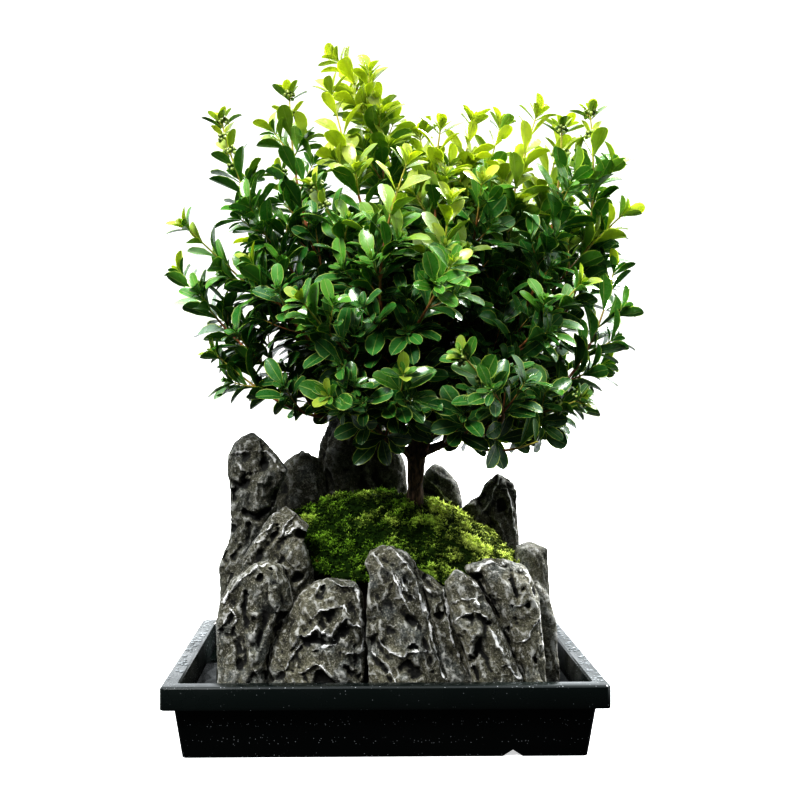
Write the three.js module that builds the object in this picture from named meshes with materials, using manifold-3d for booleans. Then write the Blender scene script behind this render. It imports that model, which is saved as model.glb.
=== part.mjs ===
// A young Syzygium buxifolium grown as a rock-planted bonsai: a mossy mound held in a ring of
// weathered limestone, standing in shallow water in a black plastic tray.
// Millimetres, +Z up. The origin is the middle of the tray's underside, and the front faces -Y.
import * as THREE from "three";
import { mergeVertices } from "three/addons/utils/BufferGeometryUtils.js";
import Module from "manifold-3d";

const wasm = await Module();
wasm.setup();

// Driving dimensions
const CLEARANCE = 0.4; // between neighbouring solids
const TRAY = {
  width: 300,
  depth: 216,
  height: 51,
  footInset: 13, // how far the foot stands in from the rim
  footWidth: 6,
  footHeight: 5,
  floorTop: 7.5,
  wall: 2.7,
  lean: 5, // how far the wall leans outwards from the foot up to the lip
  lipDrop: 15.5, // height of the turned-down lip
  lipThickness: 2.5,
  rimFlat: 11.5, // width of the flat rim, seen from above
  bevel: 1.2, // along the rim's edges
  corner: 2.5, // cut off each corner of the rim
  ribWidth: 4,
  notch: { x: 86, width: 14, height: 4.6 },
};
const WATER_LEVEL = 33;
const DRY = WATER_LEVEL + 2; // below this a stone's sides are upright, so its hole in the water is plain
const STONE_SIDES = 12;
// The mound's top, how far it runs each way from there, and how far it has dropped by then.
const MOUND = { x: 1, y: 22, top: 168, left: 150, right: 116, front: 88, back: 118, drop: 58 };
const MOUND_SECTORS = 22;
const BED = { x: 9, y: 2, halfWidth: 98, halfDepth: 64 }; // plan of the moss inside the stones
const SOIL = { x: 15, y: -2, halfWidth: 87, halfDepth: 45 }; // plan of the soil under it
const MOSS_THICKNESS = 8;
const MOSS_RELIEF = 2.2; // height of its cushions
const TRUNK = { x: 25, y: 6, buried: 125, ground: 160, radius: 6.6, sides: 8, hole: 7.5 };
const TRUNK_LEAN = [0.03, -0.02]; // sideways and forwards for each millimetre up
// Height and radius up the trunk, with the burr that the limbs leave near its top.
const TRUNK_LEVELS = [
  [TRUNK.buried, TRUNK.radius],
  [158, TRUNK.radius + 0.4],
  [175, TRUNK.radius - 0.4],
  [191, TRUNK.radius + 0.4],
  [201, TRUNK.radius + 0.6],
  [215, TRUNK.radius - 1.2],
  [227, TRUNK.radius - 3],
];
const LIMB_SIDES = 5;
const STEM = { foot: 1.6, tip: 0.9, bare: 0.22 }; // radii, and the share of a stem below its first leaves
const BLADE = { thickness: 0.7, root: 1.4, length: 26, width: 14.5 };
// Sections of a blade from its stem outwards: share of its length and of its half width.
const OUTLINE = [[0.36, 0.82], [0.76, 0.9]];
// A blade's length as a share of the full one, and its angle from the stem, at a spray's tip and foot.
const GROWTH = { length: [0.62, 1], spread: [0.65, 1] };
const BUD_SIZE = 1.4;
const PAIR_PITCH = 20.5; // spacing of the leaf pairs along a stem
const LEAF_ROOM = 4.2; // least distance between the test points of two blades
const STONE_ROOM = 8; // least distance from a blade's test points to a stone's corners

// Upright stones of the ring. outline is the stone seen from the front, [height, left side, right
// side] from the foot up. crest is the x and height of its top. y and depth are the middle and
// half the thickness, front to back, at the foot and at the crest.
const STONES = [
  {
    name: "stone_front_left_low",
    outline: [
      [8, -116, -82], [67, -116, -80], [84, -116, -68],
      [101, -114, -64], [114, -106, -66], [124, -94, -72],
    ],
    crest: [-84, 128],
    y: [-67, -64],
    depth: [15, 11],
  },
  {
    name: "stone_front_gable",
    outline: [
      [8, -84, -16], [52, -82, -16], [70, -78, -14],
      [85, -70, -14], [105, -60, -16], [113, -50, -20],
    ],
    crest: [-38, 116],
    y: [-71, -66],
    depth: [13, 10],
  },
  {
    name: "stone_front_tall",
    outline: [
      [8, -12, 44], [49, -13, 42], [73, -14, 34], [102, -12, 26],
      [115, -11, 23], [127, -14, 20], [134, -12, 16],
    ],
    crest: [1, 139],
    y: [-72, -65],
    depth: [14, 10],
  },
  {
    name: "stone_front_lobed",
    outline: [[8, 62, 98], [49, 60, 96], [67, 54, 88], [83, 48, 80], [99, 46, 72], [113, 44, 64]],
    crest: [50, 122],
    y: [-75, -66],
    depth: [12, 9],
  },
  {
    name: "stone_front_round",
    outline: [
      [8, 94, 116], [51, 90, 112], [71, 84, 112],
      [99, 74, 110], [112, 64, 106], [122, 58, 100],
    ],
    crest: [78, 129],
    y: [-62, -58],
    depth: [16, 13],
  },
  {
    name: "stone_front_narrow",
    outline: [[8, 38, 68], [64, 30, 56], [91, 22, 48], [106, 18, 44], [116, 16, 34]],
    crest: [20, 124],
    y: [-60, -58],
    depth: [14, 9],
  },
  {
    name: "stone_front_left_high",
    outline: [
      [8, -106, -52], [107, -106, -50], [126, -102, -52],
      [140, -92, -58], [150, -86, -54], [159, -80, -62],
    ],
    crest: [-70, 165],
    y: [-44, -47],
    depth: [18, 9],
  },
  {
    name: "stone_left_pillar",
    outline: [
      [8, -124, -86], [91, -122, -82], [117, -120, -82], [135, -114, -80],
      [170, -112, -78], [187, -114, -70], [198, -114, -78], [208, -110, -88],
    ],
    crest: [-98, 216],
    y: [-6, -6],
    depth: [28, 14],
  },
  {
    name: "stone_back_peak",
    outline: [
      [8, -56, 26], [157, -54, 24], [183, -52, 22],
      [203, -48, 14], [220, -42, 4], [232, -36, -8],
    ],
    crest: [-22, 239],
    y: [69, 64],
    depth: [19, 11],
  },
  {
    name: "stone_back_right",
    outline: [[8, 28, 66], [147, 30, 66], [161, 32, 64], [172, 34, 60], [182, 38, 52]],
    crest: [44, 187],
    y: [67, 62],
    depth: [16, 10],
  },
  {
    name: "stone_right_peak",
    outline: [[8, 64, 110], [137, 64, 108], [153, 66, 108], [163, 79, 107], [173, 82, 105]],
    crest: [92, 181],
    y: [45, 40],
    depth: [19, 9],
  },
  {
    name: "stone_back_left_low",
    outline: [[8, -78, -42], [148, -84, -42], [160, -87, -42], [177, -85, -44], [190, -76, -48]],
    crest: [-62, 199],
    y: [60, 52],
    depth: [18, 10],
  },
  {
    name: "stone_left_back",
    outline: [[8, -118, -78], [97, -116, -80], [125, -112, -82], [136, -106, -86]],
    crest: [-96, 144],
    y: [46, 42],
    depth: [21, 11],
  },
  {
    name: "stone_right_low",
    outline: [[8, 104, 128], [100, 102, 126], [117, 100, 126], [126, 102, 126]],
    crest: [112, 131],
    y: [5, 4],
    depth: [21, 14],
  },
  {
    name: "stone_right_slab",
    outline: [[8, 110, 128], [57, 108, 126], [82, 108, 124], [98, 106, 120]],
    crest: [112, 108],
    y: [-31, -32],
    depth: [17, 11],
  },
];

// Main limbs: the height at which each leaves the leader, the point that bends it, and its end.
const LIMBS = {
  lowFront: { from: 194, via: [45, -24, 209], to: [75, -64, 221], radius: [2.6, 1.7] },
  lowFrontLeft: { from: 192, via: [9, -18, 207], to: [-17, -48, 229], radius: [2.4, 1.6] },
  lowLeft: { from: 197, via: [-11, -2, 215], to: [-63, -10, 247], radius: [3.4, 1.9] },
  lowRight: { from: 200, via: [59, -8, 210], to: [109, -28, 235], radius: [3.2, 1.8] },
  farRight: { from: 206, via: [71, 8, 223], to: [123, 8, 281], radius: [3.2, 1.8] },
  right: { from: 213, via: [65, -4, 239], to: [100, -22, 299], radius: [3.2, 1.8] },
  midLeft: { from: 208, via: [1, -10, 233], to: [-48, -30, 278], radius: [3.2, 1.8] },
  front: { from: 210, via: [19, -22, 237], to: [1, -54, 292], radius: [2.6, 1.7] },
  backLeft: { from: 205, via: [3, 34, 237], to: [-47, 66, 303], radius: [3, 1.8] },
  backRight: { from: 203, via: [59, 34, 235], to: [103, 66, 299], radius: [3, 1.8] },
  upperLeft: { from: 219, via: [9, 4, 253], to: [-31, 0, 312], radius: [3.2, 1.8] },
  crownRight: { from: 221, via: [45, -2, 262], to: [61, -12, 327], radius: [3.2, 1.8] },
  crownLeft: { from: 223, via: [25, 10, 269], to: [1, 14, 352], radius: [3.2, 1.8] },
  back: { from: 216, via: [31, 34, 269], to: [25, 78, 352], radius: [3, 1.8] },
};

// Leafy sprays: the limb that carries each, how far along it, and where its tip is.
// young marks pale new growth, buds the flower buds near the tip, via a point that bends it.
const SPRAYS = [
  { limb: "lowLeft", at: 1, tip: [-150, -5, 333] },
  { limb: "lowLeft", at: 0.7, tip: [-121, -26, 272] },
  { limb: "midLeft", at: 1, tip: [-93, -44, 336] },
  { limb: "midLeft", at: 0.65, tip: [-142, -34, 364] },
  { limb: "upperLeft", at: 0.7, tip: [-119, -12, 444], via: [-95, -12, 344], buds: 3 },
  { limb: "upperLeft", at: 1, tip: [-70, 4, 468], buds: 1 },
  { limb: "upperLeft", at: 0.85, tip: [-78, 30, 414], buds: 3 },
  { limb: "upperLeft", at: 0.5, tip: [-48, -60, 389], buds: 1 },
  { limb: "crownLeft", at: 1, tip: [-34, 22, 501], via: [12, 20, 445], young: true },
  { limb: "crownLeft", at: 0.75, tip: [-38, -22, 465], young: true },
  { limb: "crownLeft", at: 0.88, tip: [-12, 50, 456] },
  { limb: "crownLeft", at: 0.55, tip: [30, 32, 445], young: true },
  { limb: "front", at: 1, tip: [14, -95, 399], young: true },
  { limb: "front", at: 0.6, tip: [-56, -90, 307] },
  { limb: "front", at: 0.82, tip: [42, -114, 329] },
  { limb: "crownRight", at: 1, tip: [69, -54, 393] },
  { limb: "crownRight", at: 0.8, tip: [70, 18, 452], young: true },
  { limb: "crownRight", at: 0.9, tip: [42, -22, 438], young: true },
  { limb: "crownRight", at: 0.5, tip: [44, -84, 375], young: true },
  { limb: "crownRight", at: 0.65, tip: [95, 48, 456] },
  { limb: "right", at: 1, tip: [127, -46, 432], buds: 1 },
  { limb: "right", at: 0.8, tip: [116, 0, 453], young: true },
  { limb: "right", at: 0.55, tip: [134, -70, 319] },
  { limb: "farRight", at: 1, tip: [158, 4, 455], buds: 1 },
  { limb: "farRight", at: 0.78, tip: [178, -14, 377], young: true },
  { limb: "farRight", at: 0.9, tip: [144, 40, 452], young: true },
  { limb: "farRight", at: 0.5, tip: [168, 50, 405] },
  { limb: "lowRight", at: 1, tip: [172, -14, 335] },
  { limb: "lowRight", at: 0.78, tip: [135, -66, 240], buds: 3 },
  { limb: "lowRight", at: 0.5, tip: [172, 26, 266] },
  { limb: "lowFront", at: 1, tip: [51, -114, 269], via: [94, -92, 227], buds: 1 },
  { limb: "lowFront", at: 0.7, tip: [102, -98, 213] },
  { limb: "lowFrontLeft", at: 1, tip: [-38, -84, 243] },
  { limb: "lowFrontLeft", at: 0.6, tip: [12, -92, 257] },
  { limb: "backLeft", at: 1, tip: [-102, 84, 369] },
  { limb: "backLeft", at: 0.65, tip: [-64, 118, 307] },
  { limb: "back", at: 1, tip: [6, 98, 447] },
  { limb: "back", at: 0.65, tip: [40, 130, 359] },
  { limb: "backRight", at: 1, tip: [130, 98, 395] },
  { limb: "backRight", at: 0.65, tip: [100, 122, 299] },
];

const MATERIALS = {
  tray: material(0x0b0c0e, 0.35),
  water: material(0x10150f, 0.08),
  stone: material(0x5d5b50, 0.85),
  soil: material(0x2a2119, 1),
  moss: material(0x3f5a12, 1),
  bark: material(0x3a261b, 0.9),
  leaf: material(0x1f4a16, 0.4),
  youngLeaf: material(0x8fb62a, 0.4),
};

function material(color, roughness) {
  return new THREE.MeshStandardMaterial({ color, roughness, metalness: 0, flatShading: true });
}

// A repeatable draw from 0 to 1 for three whole numbers.
function draw(a, b, c) {
  const s = Math.sin(a * 12.9898 + b * 78.233 + c * 37.719) * 43758.5453;
  return s - Math.floor(s);
}

const mix = (a, b, t) => a + (b - a) * t;
const vector = ([x, y, z]) => new THREE.Vector3(x, y, z);

// A closed surface put together from points and faces.
class Skin {
  constructor() {
    this.points = [];
    this.faces = [];
  }

  point(p) {
    this.points.push(p.x, p.y, p.z);
    return this.points.length / 3 - 1;
  }

  ring(points) {
    return points.map((p) => this.point(p));
  }

  at(index) {
    return new THREE.Vector3().fromArray(this.points, index * 3);
  }

  triangle(a, b, c) {
    this.faces.push(a, b, c);
  }

  quad(a, b, c, d) {
    this.triangle(a, b, c);
    this.triangle(a, c, d);
  }

  // Joins two rings that run anticlockwise about the way from the first to the second.
  band(from, to, skip = []) {
    from.forEach((a, i) => {
      const j = (i + 1) % from.length;
      if (!skip.includes(i)) this.quad(a, from[j], to[j], to[i]);
    });
  }

  capStart(ring, centre) {
    const c = this.point(centre);
    ring.forEach((a, i) => this.triangle(c, ring[(i + 1) % ring.length], a));
  }

  capEnd(ring, centre) {
    const c = this.point(centre);
    ring.forEach((a, i) => this.triangle(c, a, ring[(i + 1) % ring.length]));
  }

  geometry() {
    const g = new THREE.BufferGeometry();
    g.setAttribute("position", new THREE.Float32BufferAttribute(this.points, 3));
    g.setIndex(this.faces);
    return g;
  }
}

// A closed body through rings of points, each end closed on its middle.
function loft(rings) {
  const skin = new Skin();
  const indices = rings.map((ring) => skin.ring(ring));
  skin.capStart(indices[0], middle(rings[0]));
  indices.slice(1).forEach((ring, i) => skin.band(indices[i], ring));
  skin.capEnd(indices.at(-1), middle(rings.at(-1)));
  return skin.geometry();
}

function middle(points) {
  return points.reduce((sum, p) => sum.add(p), new THREE.Vector3()).divideScalar(points.length);
}

function solidOf(geometry) {
  const bare = new THREE.BufferGeometry();
  bare.setAttribute("position", geometry.getAttribute("position").clone());
  bare.setIndex(geometry.getIndex() ? geometry.getIndex().clone() : null);
  const merged = mergeVertices(bare, 1e-4);
  return new wasm.Manifold(
    new wasm.Mesh({
      numProp: 3,
      vertProperties: merged.attributes.position.array,
      triVerts: new Uint32Array(merged.index.array),
    }),
  );
}

function geometryOf(solid) {
  const mesh = solid.getMesh();
  const g = new THREE.BufferGeometry();
  g.setAttribute("position", new THREE.BufferAttribute(mesh.vertProperties, 3));
  g.setIndex(new THREE.BufferAttribute(mesh.triVerts, 1));
  return g;
}

// The largest body of a solid: the scraps that a cut leaves loose are dropped.
function largest(solid) {
  return solid.decompose().reduce((a, b) => (b.volume() > a.volume() ? b : a));
}

function meshOf(name, geometry, look) {
  geometry.computeVertexNormals();
  const mesh = new THREE.Mesh(geometry, look);
  mesh.name = name;
  return mesh;
}

// A level section of the tray: a rectangle with its corners cut off, set in from the rim's outline.
function traySection(inset, z) {
  const x = TRAY.width / 2 - inset;
  const y = TRAY.depth / 2 - inset;
  const cut = Math.max(TRAY.corner - inset * 0.25, 2);
  const corners = [
    [x, y - cut], [x - cut, y], [cut - x, y], [-x, y - cut],
    [-x, cut - y], [cut - x, -y], [x - cut, -y], [x, cut - y],
  ];
  return corners.map(([px, py]) => new THREE.Vector3(px, py, z));
}

// How far the outside of the wall is set in at a height: the wall leans outwards.
function wallInset(z) {
  return TRAY.footInset - (TRAY.lean * z) / (TRAY.height - TRAY.lipDrop);
}

// How far the inside of the wall is set in at a height, between the floor and the rim.
function innerInset(z) {
  const { height, floorTop, wall, bevel, rimFlat } = TRAY;
  const share = (z - floorTop) / (height - bevel - floorTop);
  return mix(wallInset(floorTop) + wall, rimFlat, share);
}

function trayMesh() {
  const { height, footWidth, footInset, footHeight, floorTop, bevel } = TRAY;
  const { lipDrop, lipThickness, rimFlat } = TRAY;
  const flange = height - lipThickness;
  const shell = loft([
    traySection(footInset + footWidth, footHeight),
    traySection(footInset + footWidth, 0),
    traySection(footInset, 0),
    traySection(wallInset(flange), flange),
    traySection(lipThickness, flange),
    traySection(lipThickness, height - lipDrop),
    traySection(0, height - lipDrop),
    traySection(0, height - bevel),
    traySection(bevel, height),
    traySection(rimFlat - bevel, height),
    traySection(innerInset(height - bevel), height - bevel),
    traySection(innerInset(floorTop), floorTop),
  ]);
  const sunk = 1; // how far the ribs run into the foot and the floor
  const inside = footInset + footWidth - sunk;
  const ribHeight = footHeight + sunk;
  const ribAlong = new THREE.BoxGeometry(TRAY.width - 2 * inside, TRAY.ribWidth, ribHeight);
  const ribAcross = new THREE.BoxGeometry(TRAY.ribWidth, TRAY.depth - 2 * inside, ribHeight);
  const ribs = [ribAlong, ribAcross].map((rib) => solidOf(rib.translate(0, 0, ribHeight / 2)));
  const { x, width, height: rise } = TRAY.notch;
  const gable = new THREE.Shape([
    new THREE.Vector2(x - width / 2, -0.01),
    new THREE.Vector2(x + width / 2, -0.01),
    new THREE.Vector2(x, rise),
  ]);
  const notch = new THREE.ExtrudeGeometry(gable, { depth: 3 * footWidth, bevelEnabled: false });
  notch.rotateX(Math.PI / 2).translate(0, footInset + footWidth - TRAY.depth / 2 + sunk, 0);
  const tray = solidOf(shell).add(ribs[0]).add(ribs[1]).subtract(solidOf(notch));
  return meshOf("water_tray", geometryOf(tray), MATERIALS.tray);
}

// The water fills the tray up to its level, clear of the walls and of what stands in it.
function waterMesh(holes) {
  const levels = [TRAY.floorTop + CLEARANCE, WATER_LEVEL];
  const sheet = loft(levels.map((z) => traySection(innerInset(z) + 2 * CLEARANCE, z)));
  const water = largest(holes.reduce((rest, hole) => rest.subtract(hole), solidOf(sheet)));
  return meshOf("tray_water", geometryOf(water), MATERIALS.water);
}

// One level of a stone, swollen by a clearance, at a height and between a left and a right side.
// Ridges that wander up the stone and a draw of its own for each corner roughen the outline.
function stoneRing(stone, level, height, left, right, swell) {
  const rise = Math.max(0, (height - DRY) / (stone.crest[1] - DRY));
  const seed = STONES.indexOf(stone) + 1;
  const cx = (left + right) / 2;
  const cy = mix(stone.y[0], stone.y[1], rise);
  const halfWidth = (right - left) / 2;
  const halfDepth = mix(stone.depth[0], stone.depth[1], rise) * (rise > 0.9 ? 0.75 : 1);
  const boxy = (v) => Math.sign(v) * Math.abs(v) ** 0.8;
  return Array.from({ length: STONE_SIDES }, (_, k) => {
    const angle = (k / STONE_SIDES) * 2 * Math.PI;
    const ridges = 0.07 * Math.cos(3 * angle + seed * 1.7 + 2.4 * rise) +
      0.05 * Math.cos(5 * angle + seed * 2.9 - 4 * rise) +
      0.14 * (draw(seed, k, level) - 0.5);
    const grow = level > 0 ? 1 + ridges : 1;
    return new THREE.Vector3(
      cx + (halfWidth * grow + swell) * boxy(Math.cos(angle)),
      cy + (halfDepth * grow + swell) * boxy(Math.sin(angle)),
      height,
    );
  });
}

function stoneSolid(stone, swell = 0) {
  const bottom = TRAY.floorTop + CLEARANCE - swell;
  const [, footLeft, footRight] = stone.outline[0];
  const rings = [
    stoneRing(stone, 0, bottom, footLeft, footRight, swell),
    stoneRing(stone, 0, DRY, footLeft, footRight, swell),
  ];
  stone.outline.slice(1).forEach(([height, left, right], i) => {
    rings.push(stoneRing(stone, i + 1, height + swell / 2, left, right, swell));
  });
  const skin = new Skin();
  const indices = rings.map((ring) => skin.ring(ring));
  skin.capStart(indices[0], middle(rings[0]));
  indices.slice(1).forEach((ring, i) => skin.band(indices[i], ring));
  skin.capEnd(indices.at(-1), new THREE.Vector3(stone.crest[0], stone.y[1], stone.crest[1] + swell));
  return solidOf(skin.geometry());
}

// The plain hole that a stone's foot makes in the water: a rectangle with its corners cut off.
function stoneHole(stone, room) {
  const [, left, right] = stone.outline[0];
  const cx = (left + right) / 2;
  const a = (right - left) / 2 + room;
  const b = stone.depth[0] + room;
  const short = 0.6; // where the cut starts, as a share of the half side
  const corners = [
    [a, b * short], [a * short, b], [-a * short, b], [-a, b * short],
    [-a, -b * short], [-a * short, -b], [a * short, -b], [a, -b * short],
  ];
  const at = (z) => corners.map(([x, y]) => new THREE.Vector3(cx + x, stone.y[0] + y, z));
  return solidOf(loft([at(0), at(WATER_LEVEL + 1)]));
}

// Each stone gives way to the stones before it, so the front ones keep their whole face.
function stoneMeshes(swollen) {
  return STONES.map((stone, i) => {
    const cut = swollen.slice(0, i).reduce((rest, other) => rest.subtract(other), stoneSolid(stone));
    return meshOf(stone.name, geometryOf(largest(cut)), MATERIALS.stone);
  });
}

// The mound's surface over a point of the plan.
function moundHeight(x, y) {
  const dx = (x - MOUND.x) / (x < MOUND.x ? MOUND.left : MOUND.right);
  const dy = (y - MOUND.y) / (y < MOUND.y ? MOUND.front : MOUND.back);
  return MOUND.top - MOUND.drop * (dx * dx + dy * dy);
}

// Cushions in the moss: a relief of rounded humps.
function mossRelief(x, y) {
  const alongX = Math.abs(Math.sin(x * 0.16 + 1.3 * Math.sin(y * 0.11)));
  const alongY = Math.abs(Math.sin(y * 0.19 + 1.1 * Math.sin(x * 0.13 + 2)));
  return MOSS_RELIEF * (alongX + alongY);
}

// A share of an elliptical plan, each point lifted to a height of its own.
function ellipse({ x, y, halfWidth, halfDepth }, share, height) {
  return Array.from({ length: MOUND_SECTORS }, (_, k) => {
    const angle = (k / MOUND_SECTORS) * 2 * Math.PI;
    const px = x + halfWidth * share * Math.cos(angle);
    const py = y + halfDepth * share * Math.sin(angle);
    return new THREE.Vector3(px, py, height(px, py));
  });
}

// A mound over the moss bed's plan, from a lower surface up to an upper one, each with its own
// number of rings of facets.
function moundSolid(lower, lowerRings, upper, upperRings) {
  const skin = new Skin();
  const surface = (height, count) =>
    Array.from({ length: count }, (_, r) => skin.ring(ellipse(BED, (r + 1) / count, height)));
  const top = surface(upper, upperRings);
  const bottom = surface(lower, lowerRings);
  skin.capEnd(top[0], new THREE.Vector3(BED.x, BED.y, upper(BED.x, BED.y)));
  skin.capStart(bottom[0], new THREE.Vector3(BED.x, BED.y, lower(BED.x, BED.y)));
  top.slice(1).forEach((ring, r) => skin.band(ring, top[r]));
  bottom.slice(1).forEach((ring, r) => skin.band(bottom[r], ring));
  skin.band(bottom.at(-1), top.at(-1));
  return solidOf(skin.geometry());
}

// The plain hole that the trunk stands in.
function trunkHole() {
  const depth = 80;
  const hole = new THREE.CylinderGeometry(TRUNK.hole, TRUNK.hole, depth, TRUNK.sides);
  hole.rotateX(Math.PI / 2).translate(TRUNK.x, TRUNK.y, TRUNK.buried - CLEARANCE + depth / 2);
  return solidOf(hole);
}

function moundMeshes(swollen) {
  const mossTop = (x, y) => moundHeight(x, y) - 1.4 * MOSS_RELIEF + mossRelief(x, y);
  const mossUnder = (x, y) => moundHeight(x, y) - MOSS_THICKNESS;
  const soilTop = (x, y) => mossUnder(x, y) - CLEARANCE;
  const soilUnder = () => TRAY.floorTop + CLEARANCE;
  const plug = solidOf(loft([0, MOUND.top].map((z) => ellipse(SOIL, 1, () => z))));
  const cutters = [...swollen, trunkHole()];
  const fit = (solid) => largest(cutters.reduce((rest, cutter) => rest.subtract(cutter), solid));
  const soil = fit(moundSolid(soilUnder, 1, soilTop, 3).intersect(plug));
  const moss = fit(moundSolid(mossUnder, 3, mossTop, 5));
  return [
    meshOf("soil_bed", geometryOf(soil), MATERIALS.soil),
    meshOf("moss_cushion", geometryOf(moss), MATERIALS.moss),
  ];
}

// A bent line in one plane, and the rings of a tube round it.
class Bend {
  constructor(from, via, to) {
    this.curve = new THREE.QuadraticBezierCurve3(from, via, to);
    this.across = new THREE.Vector3().crossVectors(via.clone().sub(from), to.clone().sub(via));
    if (this.across.length() < 1) this.across.set(0, -1, 0);
    this.across.normalize();
  }

  point(u) {
    return this.curve.getPoint(u);
  }

  along(u) {
    return this.curve.getTangent(u);
  }

  length() {
    return this.curve.getLength();
  }

  // A ring of points round the line, anticlockwise about the way that the line runs.
  ring(u, radius, sides, turn = 0) {
    const along = this.along(u);
    const side = new THREE.Vector3().crossVectors(this.across, along).normalize();
    const up = new THREE.Vector3().crossVectors(along, side);
    return Array.from({ length: sides }, (_, k) => {
      const angle = turn + (k / sides) * 2 * Math.PI;
      return this.point(u)
        .addScaledVector(side, radius * Math.cos(angle))
        .addScaledVector(up, radius * Math.sin(angle));
    });
  }
}

// The trunk's middle at a height: upright in the ground, leaning above it.
function leaderAt(z) {
  const rise = Math.max(0, z - TRUNK.ground);
  return new THREE.Vector3(TRUNK.x + TRUNK_LEAN[0] * rise, TRUNK.y + TRUNK_LEAN[1] * rise, z);
}

function limbBend(limb) {
  return new Bend(leaderAt(limb.from), vector(limb.via), vector(limb.to));
}

function limbRadius(limb, u) {
  return mix(limb.radius[0], limb.radius[1], u);
}

function trunkMesh() {
  const rings = TRUNK_LEVELS.map(([z, radius]) =>
    Array.from({ length: TRUNK.sides }, (_, k) => {
      const angle = (k / TRUNK.sides) * 2 * Math.PI;
      return leaderAt(z).add(new THREE.Vector3(radius * Math.cos(angle), radius * Math.sin(angle), 0));
    }),
  );
  const limbs = Object.entries(LIMBS).map(([name, limb]) => {
    const bend = limbBend(limb);
    const shoots = SPRAYS.filter((spray) => spray.limb === name).map((spray) => spray.at);
    const steps = [...new Set([0, 0.3, ...shoots, 1])].sort((a, b) => a - b);
    return solidOf(loft(steps.map((u) => bend.ring(u, limbRadius(limb, u), LIMB_SIDES))));
  });
  const wood = limbs.reduce((all, limb) => all.add(limb), solidOf(loft(rings)));
  return meshOf("trunk_and_limbs", geometryOf(wood), MATERIALS.bark);
}

// Points that other blades must stay clear of: where, how far, and which spray owns them.
const taken = [];

function keepClear(point, room, owner) {
  taken.push({ point, room, owner });
}

function isClear(points, owner) {
  return points.every((p) =>
    taken.every((t) => {
      const room = t.owner === owner ? 0.6 * t.room : t.room;
      return p.distanceToSquared(t.point) > room * room;
    }),
  );
}

// The blade's own axes: outwards along it, across it, and up out of its upper face, which turns
// towards the light.
function bladeAxes(along, outward, spread, twist, light) {
  const out = along.clone().multiplyScalar(Math.cos(spread)).addScaledVector(outward, Math.sin(spread));
  const up = along.clone().multiplyScalar(Math.sin(spread)).addScaledVector(outward, -Math.cos(spread));
  up.applyAxisAngle(out, twist).addScaledVector(light, 0.5);
  up.addScaledVector(out, -up.dot(out)).normalize();
  return { out, up, across: new THREE.Vector3().crossVectors(up, out) };
}

// A point of the blade: share along it, and offsets across it and up from it. The blade curls back.
function bladePoint(blade, share, across, lift) {
  const curl = -blade.curl * blade.length * share * share;
  return blade.root.clone()
    .addScaledVector(blade.out, blade.length * share)
    .addScaledVector(blade.across, across)
    .addScaledVector(blade.up, lift + curl);
}

function bladeTestPoints(blade) {
  const points = [bladePoint(blade, 1, 0, 0)];
  for (const share of [0.3, 0.5, 0.7, 0.9]) {
    for (const side of [-0.6, 0, 0.6]) points.push(bladePoint(blade, share, side * blade.halfWidth, 0));
  }
  return points;
}

// One stretch of a blade. Its lower and upper faces are split into triangles alike, so that a
// twisted blade never crosses itself.
function bladeBand(skin, from, to) {
  skin.quad(from[0], from[1], to[1], to[0]);
  skin.quad(from[1], from[2], to[2], to[1]);
  skin.quad(from[3], to[3], to[2], from[2]);
  skin.quad(from[3], from[0], to[0], to[3]);
}

// Grows a blade out of one side of the stem, whose four corners are given from outside.
function growBlade(skin, corners, blade) {
  const half = BLADE.thickness / 2;
  let section = corners;
  for (const [share, width] of OUTLINE) {
    const w = width * blade.halfWidth;
    const next = skin.ring([
      bladePoint(blade, share, -w, -half),
      bladePoint(blade, share, w, -half),
      bladePoint(blade, share, w, half),
      bladePoint(blade, share, -w, half),
    ]);
    bladeBand(skin, section, next);
    section = next;
  }
  const below = skin.point(bladePoint(blade, 1, 0, -half));
  const above = skin.point(bladePoint(blade, 1, 0, half));
  const [b0, b1, t1, t0] = section;
  skin.triangle(b0, b1, below);
  skin.triangle(t1, t0, above);
  skin.quad(b1, t1, above, below);
  skin.quad(t0, b0, below, above);
}

// Grows a stalked flower bud out of one side of the stem.
function growBud(skin, corners, root, out) {
  const side = new THREE.Vector3().subVectors(skin.at(corners[1]), skin.at(corners[0])).normalize();
  side.addScaledVector(out, -side.dot(out)).normalize();
  const up = new THREE.Vector3().crossVectors(out, side);
  const square = [[-1, -1], [1, -1], [1, 1], [-1, 1]];
  let section = corners;
  for (const [reach, half] of [[1.6, 0.35], [3, 0.9], [4.2, 0.8]]) {
    const next = skin.ring(
      square.map(([i, j]) =>
        root.clone()
          .addScaledVector(out, reach * BUD_SIZE)
          .addScaledVector(side, i * half * BUD_SIZE)
          .addScaledVector(up, j * half * BUD_SIZE),
      ),
    );
    skin.band(section, next);
    section = next;
  }
  skin.capEnd(section, root.clone().addScaledVector(out, 5 * BUD_SIZE));
}

// The line of a spray's stem. A last spray carries its limb on, and any other leaves the limb's side.
function sprayBend(spray) {
  const limb = LIMBS[spray.limb];
  const carrier = limbBend(limb);
  const along = carrier.along(spray.at);
  const tip = vector(spray.tip);
  const start = carrier.point(spray.at);
  const reach = start.distanceTo(tip);
  const outward = tip.clone().sub(start);
  outward.addScaledVector(along, -outward.dot(along)).normalize();
  const heading = along.clone();
  if (spray.at < 1) {
    start.addScaledVector(outward, limbRadius(limb, spray.at) + CLEARANCE);
    heading.multiplyScalar(0.7).addScaledVector(outward, 0.7);
  } else {
    start.addScaledVector(along, CLEARANCE);
  }
  const via = spray.via ? vector(spray.via) : start.clone().addScaledVector(heading, 0.4 * reach);
  return { bend: new Bend(start, via, tip), outward };
}

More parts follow.
